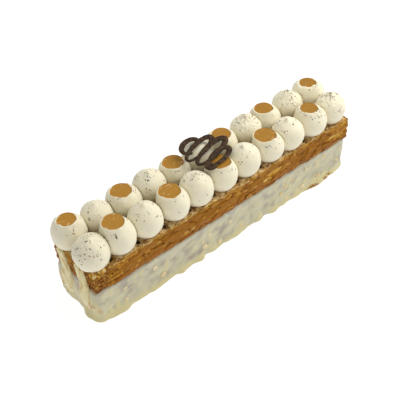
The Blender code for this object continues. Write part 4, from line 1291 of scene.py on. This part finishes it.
# Vanilla seeds show in the cream as fine dark flecks. They gather in some places of a dome, and some
# smear out under the skin as bluish grey stains.
SHOWN_SIDE = (math.radians(-37), math.radians(45))
GATHERED = {
    # places on the side towards the picture: right and up in shares of the dome's radius, spread, flecks
    "front_01": ((0.05, 0.8, 0.13, 22), (-0.3, 0.72, 0.16, 6), (0.15, 0.15, 0.16, 8), (-0.7, 0.0, 0.16, 9),
                 (-0.4, -0.3, 0.14, 5), (0.5, -0.2, 0.16, 6), (0.6, 0.4, 0.14, 4), (0, 0, 0.5, 12)),
    "front_02": ((-0.03, -0.02, 0.02, 5), (0.0, -0.12, 0.02, 5), (0.03, -0.2, 0.02, 3), (0, -0.2, 0.5, 6)),
    "front_03": ((-0.4, 0.88, 0.05, 4), (0.5, 0.8, 0.05, 4), (-0.3, 0.1, 0.05, 3), (0.7, -0.1, 0.12, 4),
                 (0, 0, 0.5, 6)),
    "front_04": ((0.5, 0.2, 0.06, 3), (0.2, 0.0, 0.06, 2), (0, -0.3, 0.5, 5)),
    "front_05": ((-0.2, 0.4, 0.08, 6), (0.1, 0.68, 0.08, 6), (0.3, 0.6, 0.06, 3), (-0.65, 0.3, 0.05, 2),
                 (0.5, -0.5, 0.06, 3), (0, 0, 0.5, 8)),
    "front_06": ((0.5, 0.0, 0.3, 4), (0, -0.3, 0.4, 4)),
    "front_07": ((0.45, 0.65, 0.04, 3), (-0.3, -0.35, 0.05, 4), (0, 0, 0.5, 8)),
    "front_08": ((0.45, 0.38, 0.12, 14), (0.1, -0.3, 0.2, 4), (0.8, -0.1, 0.06, 2), (0, -0.2, 0.4, 6)),
    "front_09": ((0.5, 0.65, 0.04, 3), (0.3, 0.4, 0.06, 4), (-0.7, 0.4, 0.06, 4), (-0.2, -0.05, 0.08, 4),
                 (0, 0, 0.5, 10)),
    "front_10": ((0.6, 0.25, 0.22, 34), (0.2, -0.1, 0.4, 12), (-0.6, 0.35, 0.1, 6)),
    "front_11": ((0.0, 0.72, 0.14, 16), (-0.4, 0.6, 0.14, 14), (0.5, 0.7, 0.06, 5), (0, 0, 0.5, 26)),
    "back_01": ((0.5, 0.1, 0.12, 4), (0.25, -0.3, 0.15, 4), (0, -0.1, 0.5, 4)),
    "back_02": ((-0.35, -0.3, 0.08, 4), (0.3, -0.1, 0.06, 3), (-0.45, 0.1, 0.05, 2), (0, 0, 0.5, 6)),
    "back_03": ((-0.5, 0.25, 0.08, 7), (0.66, 0.33, 0.11, 12), (-0.82, -0.1, 0.07, 4), (0, -0.2, 0.5, 8)),
    "back_04": ((0.0, 0.5, 0.07, 5), (-0.03, 0.15, 0.07, 6), (-0.1, -0.45, 0.06, 4), (-0.7, 0.35, 0.1, 6),
                (0.0, 0.85, 0.2, 8), (0, 0, 0.5, 8)),
    "back_05": ((0.45, 0.25, 0.08, 7), (0.2, -0.2, 0.05, 2), (0, -0.2, 0.5, 5)),
    "back_06": ((0, 0, 0.5, 8),),
    "back_07": ((0, -0.1, 0.5, 5),),
    "back_08": ((0.78, 0.62, 0.06, 18), (0.4, 0.6, 0.16, 16), (-0.4, 0.6, 0.2, 14), (0, 0.1, 0.5, 30)),
    "back_09": ((0.85, 0.4, 0.06, 8), (0, -0.1, 0.5, 6)),
    "back_10": ((0.1, 0.78, 0.1, 11), (0.15, 0.1, 0.08, 5), (0.75, -0.3, 0.1, 6), (0.35, 0.45, 0.16, 13),
                (0, 0.1, 0.5, 34)),
    "back_11": ((-0.6, -0.4, 0.1, 6), (0.4, 0.1, 0.05, 4), (0.6, -0.55, 0.1, 22), (0, -0.2, 0.5, 8)),
}
STAINS = {
    # the place of a dome's grey stain, right and up in shares of the usual radius
    "front_01": (0.6, -0.5), "front_06": (0.62, 0.05), "front_08": (-0.2, -0.3), "front_09": (-0.5, 0.6),
    "front_11": (0.45, -0.4), "back_03": (0.1, 0.12), "back_04": (-0.02, 0.35), "back_08": (-0.45, 0.2),
}
MORE_FLECKS = 1.4
FLECK_SIZES = (0.22, 0.3, 0.36, 0.5)
STAIN_SIZE = (1.3 * MM, 0.75 * MM, 0.16 * MM)
RAY_START = 40 * MM
azimuth, elevation = SHOWN_SIDE
towards = Vector((math.sin(azimuth), -math.cos(azimuth), 0)) * math.cos(elevation)
towards.z = math.sin(elevation)
rightwards = Vector((math.cos(azimuth), math.sin(azimuth), 0))
upwards = towards.cross(rightwards)


def dome_heart(name):
    """The point of a dome that its flecks are placed round."""
    return dome_size(name)[0] + BAR_MIDDLE + Vector((0, 0, DOME_BASE + 1.2 * WIDEST_AT))


def on_dome(name, start, direction):
    """Where a ray meets a dome, and the way the cream faces there, or None."""
    hit, point, normal, _ = domes[name].ray_cast(start, direction)
    return (point, normal) if hit else None


def on_shown_side(name, right_off, up_off):
    """The place of a dome that shows so far to the right and up in the picture."""
    start = dome_heart(name) + rightwards * right_off + upwards * up_off + towards * RAY_START
    return on_dome(name, start, -towards)


def fleck_spots(name, rng):
    """Places for a dome's flecks: those that gather on the shown side, and as many behind."""
    _, radius = dome_size(name)
    for right_share, up_share, spread, count in GATHERED[name]:
        for _ in range(round(MORE_FLECKS * count)):
            right_off = (right_share + rng.gauss(0, spread)) * radius
            up_off = (up_share + rng.gauss(0, spread)) * radius
            yield on_shown_side(name, right_off, up_off)
    for _ in range(sum(group[3] for group in GATHERED[name])):
        turn = math.radians(rng.uniform(-20, 130))
        rise = math.radians(rng.uniform(-25, 75))
        out = Vector((math.cos(turn) * math.cos(rise), math.sin(turn) * math.cos(rise), math.sin(rise)))
        yield on_dome(name, dome_heart(name) + out * 24 * MM, -out)


def speck_places():
    """A matrix and a shade for each fleck, laid on the dome that carries it."""
    rng = random.Random(8)
    for name in GATHERED:
        for found in fleck_spots(name, rng):
            if found is None:
                continue
            point, normal = found
            size = rng.choice(FLECK_SIZES) * MM
            wide = (size * rng.uniform(1.0, 1.8), size, size * 0.25)
            yield placed(point, normal, rng.uniform(0, math.pi), wide), rng.random() ** 1.5 * 0.8
        if name in STAINS:
            right_share, up_share = STAINS[name]
            found = on_shown_side(name, right_share * DOME_RADIUS, up_share * DOME_RADIUS)
            if found is not None:
                yield placed(*found, rng.uniform(0, math.pi), STAIN_SIZE), 1.0


bpy.context.view_layer.update()
speck = edit_new(bpy.ops.mesh.primitive_ico_sphere_add, subdivisions=1, radius=1)
end_edit(speck, "speck")
speck_spots, speck_shades = zip(*speck_places())
specks = scattered("vanilla_specks", speck, speck_spots, tone=speck_shades)
speck_finish, tree, shader = new_material("vanilla seed", 0.7, Specular_IOR_Level=0.05)
dark = ramp(
    tree,
    stored(tree, "tone"),
    (0.0, screen(74, 44, 18)),
    (0.4, screen(120, 84, 46)),
    (0.8, screen(180, 150, 106)),
    (1.0, screen(168, 172, 172)),
)
tree.links.new(dark, shader.inputs["Base Color"])
specks.data.materials.append(speck_finish)
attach(specks, "root")


# The scroll is dark chocolate piped in overlapping loops, set hard and laid on two domes. Its strokes
# melted together where they cross, and a dull bloom mottles them.
SCROLL_HEIGHT = 84.2 * MM
SCROLL_SLOPE = math.radians(3.0)
SCROLL_STRETCH = 1.11
SCROLL_BACK = 2.8
SCROLL_THICKNESS = 1.9 * MM
SCROLL_CURL = 0.36
SCROLL_STACK = 0.12
WIDEST_SHARE = 0.55
STROKE_EXTRA = 0.6
SWELL_EXTRA = 0.7
STROKE_SIDES = 14
STROKE_CUTS = 90
MELT_SIZE = 0.3 * MM
SCROLL_RUNS = (
    # middle, half length, half width, tilt, first and last angle, thinnest and widest stroke, and whether
    # it is open and winds in; lengths in mm and angles in degrees
    ((-6.0, 11.5), 12.5, 7.4, 12, 235, -80, 1.3, 4.6, True),
    ((-4.0, 4.6), 17.5, 5.2, 15, 0, 360, 2.4, 4.6, False),
    ((2.0, -3.6), 19.5, 5.2, 14, 0, 360, 2.8, 5.0, False),
    ((3.4, -11.6), 12.5, 4.6, 12, 0, 360, 2.6, 4.6, False),
    ((-6.5, -15.6), 8.5, 5.2, 10, 80, 285, 1.3, 4.0, True),
)


def scroll_ring(number, share, side):
    """A point of a stroke's skin: a share of its way, and a share of the way round it."""
    (mid_x, mid_y), half_length, half_width, tilt, first, last, thin, wide, is_open = SCROLL_RUNS[number]

    def way(at):
        angle = math.radians(first + (last - first) * at)
        wound = 1 - (1 - SCROLL_CURL) * max(0.0, at) ** 1.5 if is_open else 1
        flat = Vector((half_length * math.cos(angle), half_width * math.sin(angle))) * wound
        flat.rotate(Matrix.Rotation(math.radians(tilt), 2))
        flat += Vector((mid_x, mid_y))
        return Vector((flat.x, flat.y * SCROLL_STRETCH + SCROLL_BACK))

    swell = 0.5 - 0.5 * math.cos(2 * math.pi * (share - WIDEST_SHARE))
    if is_open:
        swell = max(0.0, math.sin(math.pi * share)) ** 0.7
    width = STROKE_EXTRA + thin + (wide + SWELL_EXTRA - thin) * swell
    width += 0.3 * noise.noise(Vector((share * 9, number, 0)))
    ahead = way(share + 0.01) - way(share - 0.01)
    across = Vector((ahead.y, -ahead.x)).normalized()
    turn = 2 * math.pi * side
    spot = way(share) + across * width / 2 * math.sin(turn)
    depth = SCROLL_THICKNESS / 2 / MM * (0.75 + 0.25 * swell)
    return Vector((spot.x * MM, spot.y * MM, (depth * math.cos(turn) + SCROLL_STACK * number) * MM))


strokes = []
for number in range(len(SCROLL_RUNS)):
    stroke = edit_new(bpy.ops.mesh.primitive_cylinder_add, vertices=STROKE_SIDES, radius=1, depth=1)
    select_where(stroke, "EDGE", lambda edge: abs(edge.verts[0].co.z - edge.verts[1].co.z) > 0.5)
    bpy.ops.mesh.subdivide(number_cuts=STROKE_CUTS)
    end_edit(stroke, f"stroke_{number}")
    for vertex in stroke.data.vertices:
        side = math.atan2(vertex.co.x, vertex.co.y) / (2 * math.pi)
        vertex.co = scroll_ring(number, vertex.co.z + 0.5, side)
    strokes.append(stroke)
bpy.ops.object.select_all(action="DESELECT")
for stroke in strokes:
    stroke.select_set(True)
bpy.context.view_layer.objects.active = strokes[0]
bpy.ops.object.join()
scroll = bpy.context.object
remesh = scroll.modifiers.new("melt", "REMESH")
remesh.mode = "VOXEL"
remesh.voxel_size = MELT_SIZE
remesh.use_smooth_shade = True
bpy.ops.object.modifier_apply(modifier="melt")
soften = scroll.modifiers.new("soften", "SMOOTH")
soften.factor = 0.5
soften.iterations = 5
bpy.ops.object.modifier_apply(modifier="soften")
end_edit(scroll, "scroll_of_chocolate")
tilt = Matrix.Translation(BAR_MIDDLE + Vector((0, 0, SCROLL_HEIGHT))) @ Matrix.Rotation(SCROLL_SLOPE, 4, "X")
for vertex in scroll.data.vertices:
    if vertex.co.z > 0:
        lump = noise.noise(vertex.co / (2.2 * MM)) * 0.16 + noise.noise(vertex.co / (0.9 * MM)) * 0.06
        vertex.co.z += lump * MM
    vertex.co = tilt @ vertex.co
chocolate, tree, shader = new_material("dark chocolate", 0.6, Specular_IOR_Level=0.15)
bloom = ramp(
    tree,
    noise_of(tree, 2.6 * MM, 4.0),
    (0.36, screen(46, 31, 19)),
    (0.52, screen(64, 46, 31)),
    (0.68, screen(92, 72, 52)),
)
tree.links.new(bloom, shader.inputs["Base Color"])
grain_surface(tree, shader, 0.8 * MM, 0.2 * MM)
scroll.data.materials.append(chocolate)
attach(scroll, "root")
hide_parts("chocolate_scroll")


# The bar stands on a plain white surface in a bright white room. One broad soft light hangs beyond its right
# end, above it and a little in front, and the camera stands where the picture was taken from.
FLOOR_SIZE = 6
FLOOR_GLOW = 0.89
ROOM_GLOW = 0.51
KEY_PLACE = (0.42, -0.10, 0.64)
KEY_SIZE = 0.55
KEY_POWER = 4.05
KEY_COLOUR = (1.0, 0.98, 0.93)
floor = edit_new(bpy.ops.mesh.primitive_plane_add, size=FLOOR_SIZE)
end_edit(floor, "floor")
paper, tree, shader = new_material("white paper", 0.9, Specular_IOR_Level=0.0)
shader.inputs["Base Color"].default_value = (0.25, 0.25, 0.25, 1)
shader.inputs["Emission Color"].default_value = (1, 1, 1, 1)
shader.inputs["Emission Strength"].default_value = FLOOR_GLOW
floor.data.materials.append(paper)
floor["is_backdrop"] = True

world = bpy.data.worlds.new("white room")
world.use_nodes = True
room = world.node_tree.nodes["Background"].inputs
room["Color"].default_value = (1.0, 0.995, 0.98, 1)
room["Strength"].default_value = ROOM_GLOW
bpy.context.scene.world = world
bpy.context.scene.view_settings.view_transform = "Standard"

bpy.ops.object.light_add(type="AREA", location=KEY_PLACE)
key = bpy.context.object
key.name = "key"
key.data.size = KEY_SIZE
key.data.energy = KEY_POWER
key.data.color = KEY_COLOUR
key.rotation_euler = Vector(KEY_PLACE).to_track_quat("Z", "Y").to_euler()

AZIMUTH = math.radians(-37.167)
ELEVATION = math.radians(44.582)
ROLL = math.radians(-3.578)
AIM = (-11.218 * MM, 18.33 * MM)
DISTANCE = 708.527 * MM
FOCAL_PIXELS = 759.391
PICTURE_PIXELS = 400
SENSOR_WIDTH = 36
back = Vector((math.sin(AZIMUTH), -math.cos(AZIMUTH), 0)) * math.cos(ELEVATION)
back.z = math.sin(ELEVATION)
level = Vector((math.cos(AZIMUTH), math.sin(AZIMUTH), 0))
steep = back.cross(level)
right = math.cos(ROLL) * level + math.sin(ROLL) * steep
upward = math.cos(ROLL) * steep - math.sin(ROLL) * level
bpy.ops.object.camera_add()
camera = bpy.context.object
camera.matrix_world = Matrix((right, upward, back)).transposed().to_4x4()
camera.location = BAR_MIDDLE + AIM[0] * right + AIM[1] * upward + DISTANCE * back
camera.data.sensor_width = SENSOR_WIDTH
camera.data.lens = FOCAL_PIXELS / PICTURE_PIXELS * SENSOR_WIDTH
camera.data.clip_start = 0.01
camera.data.clip_end = 20
bpy.context.scene.camera = camera

low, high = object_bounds()
{"cad": [list(corner) for corner in cad_box], "scene": [list(low), list(high)]}
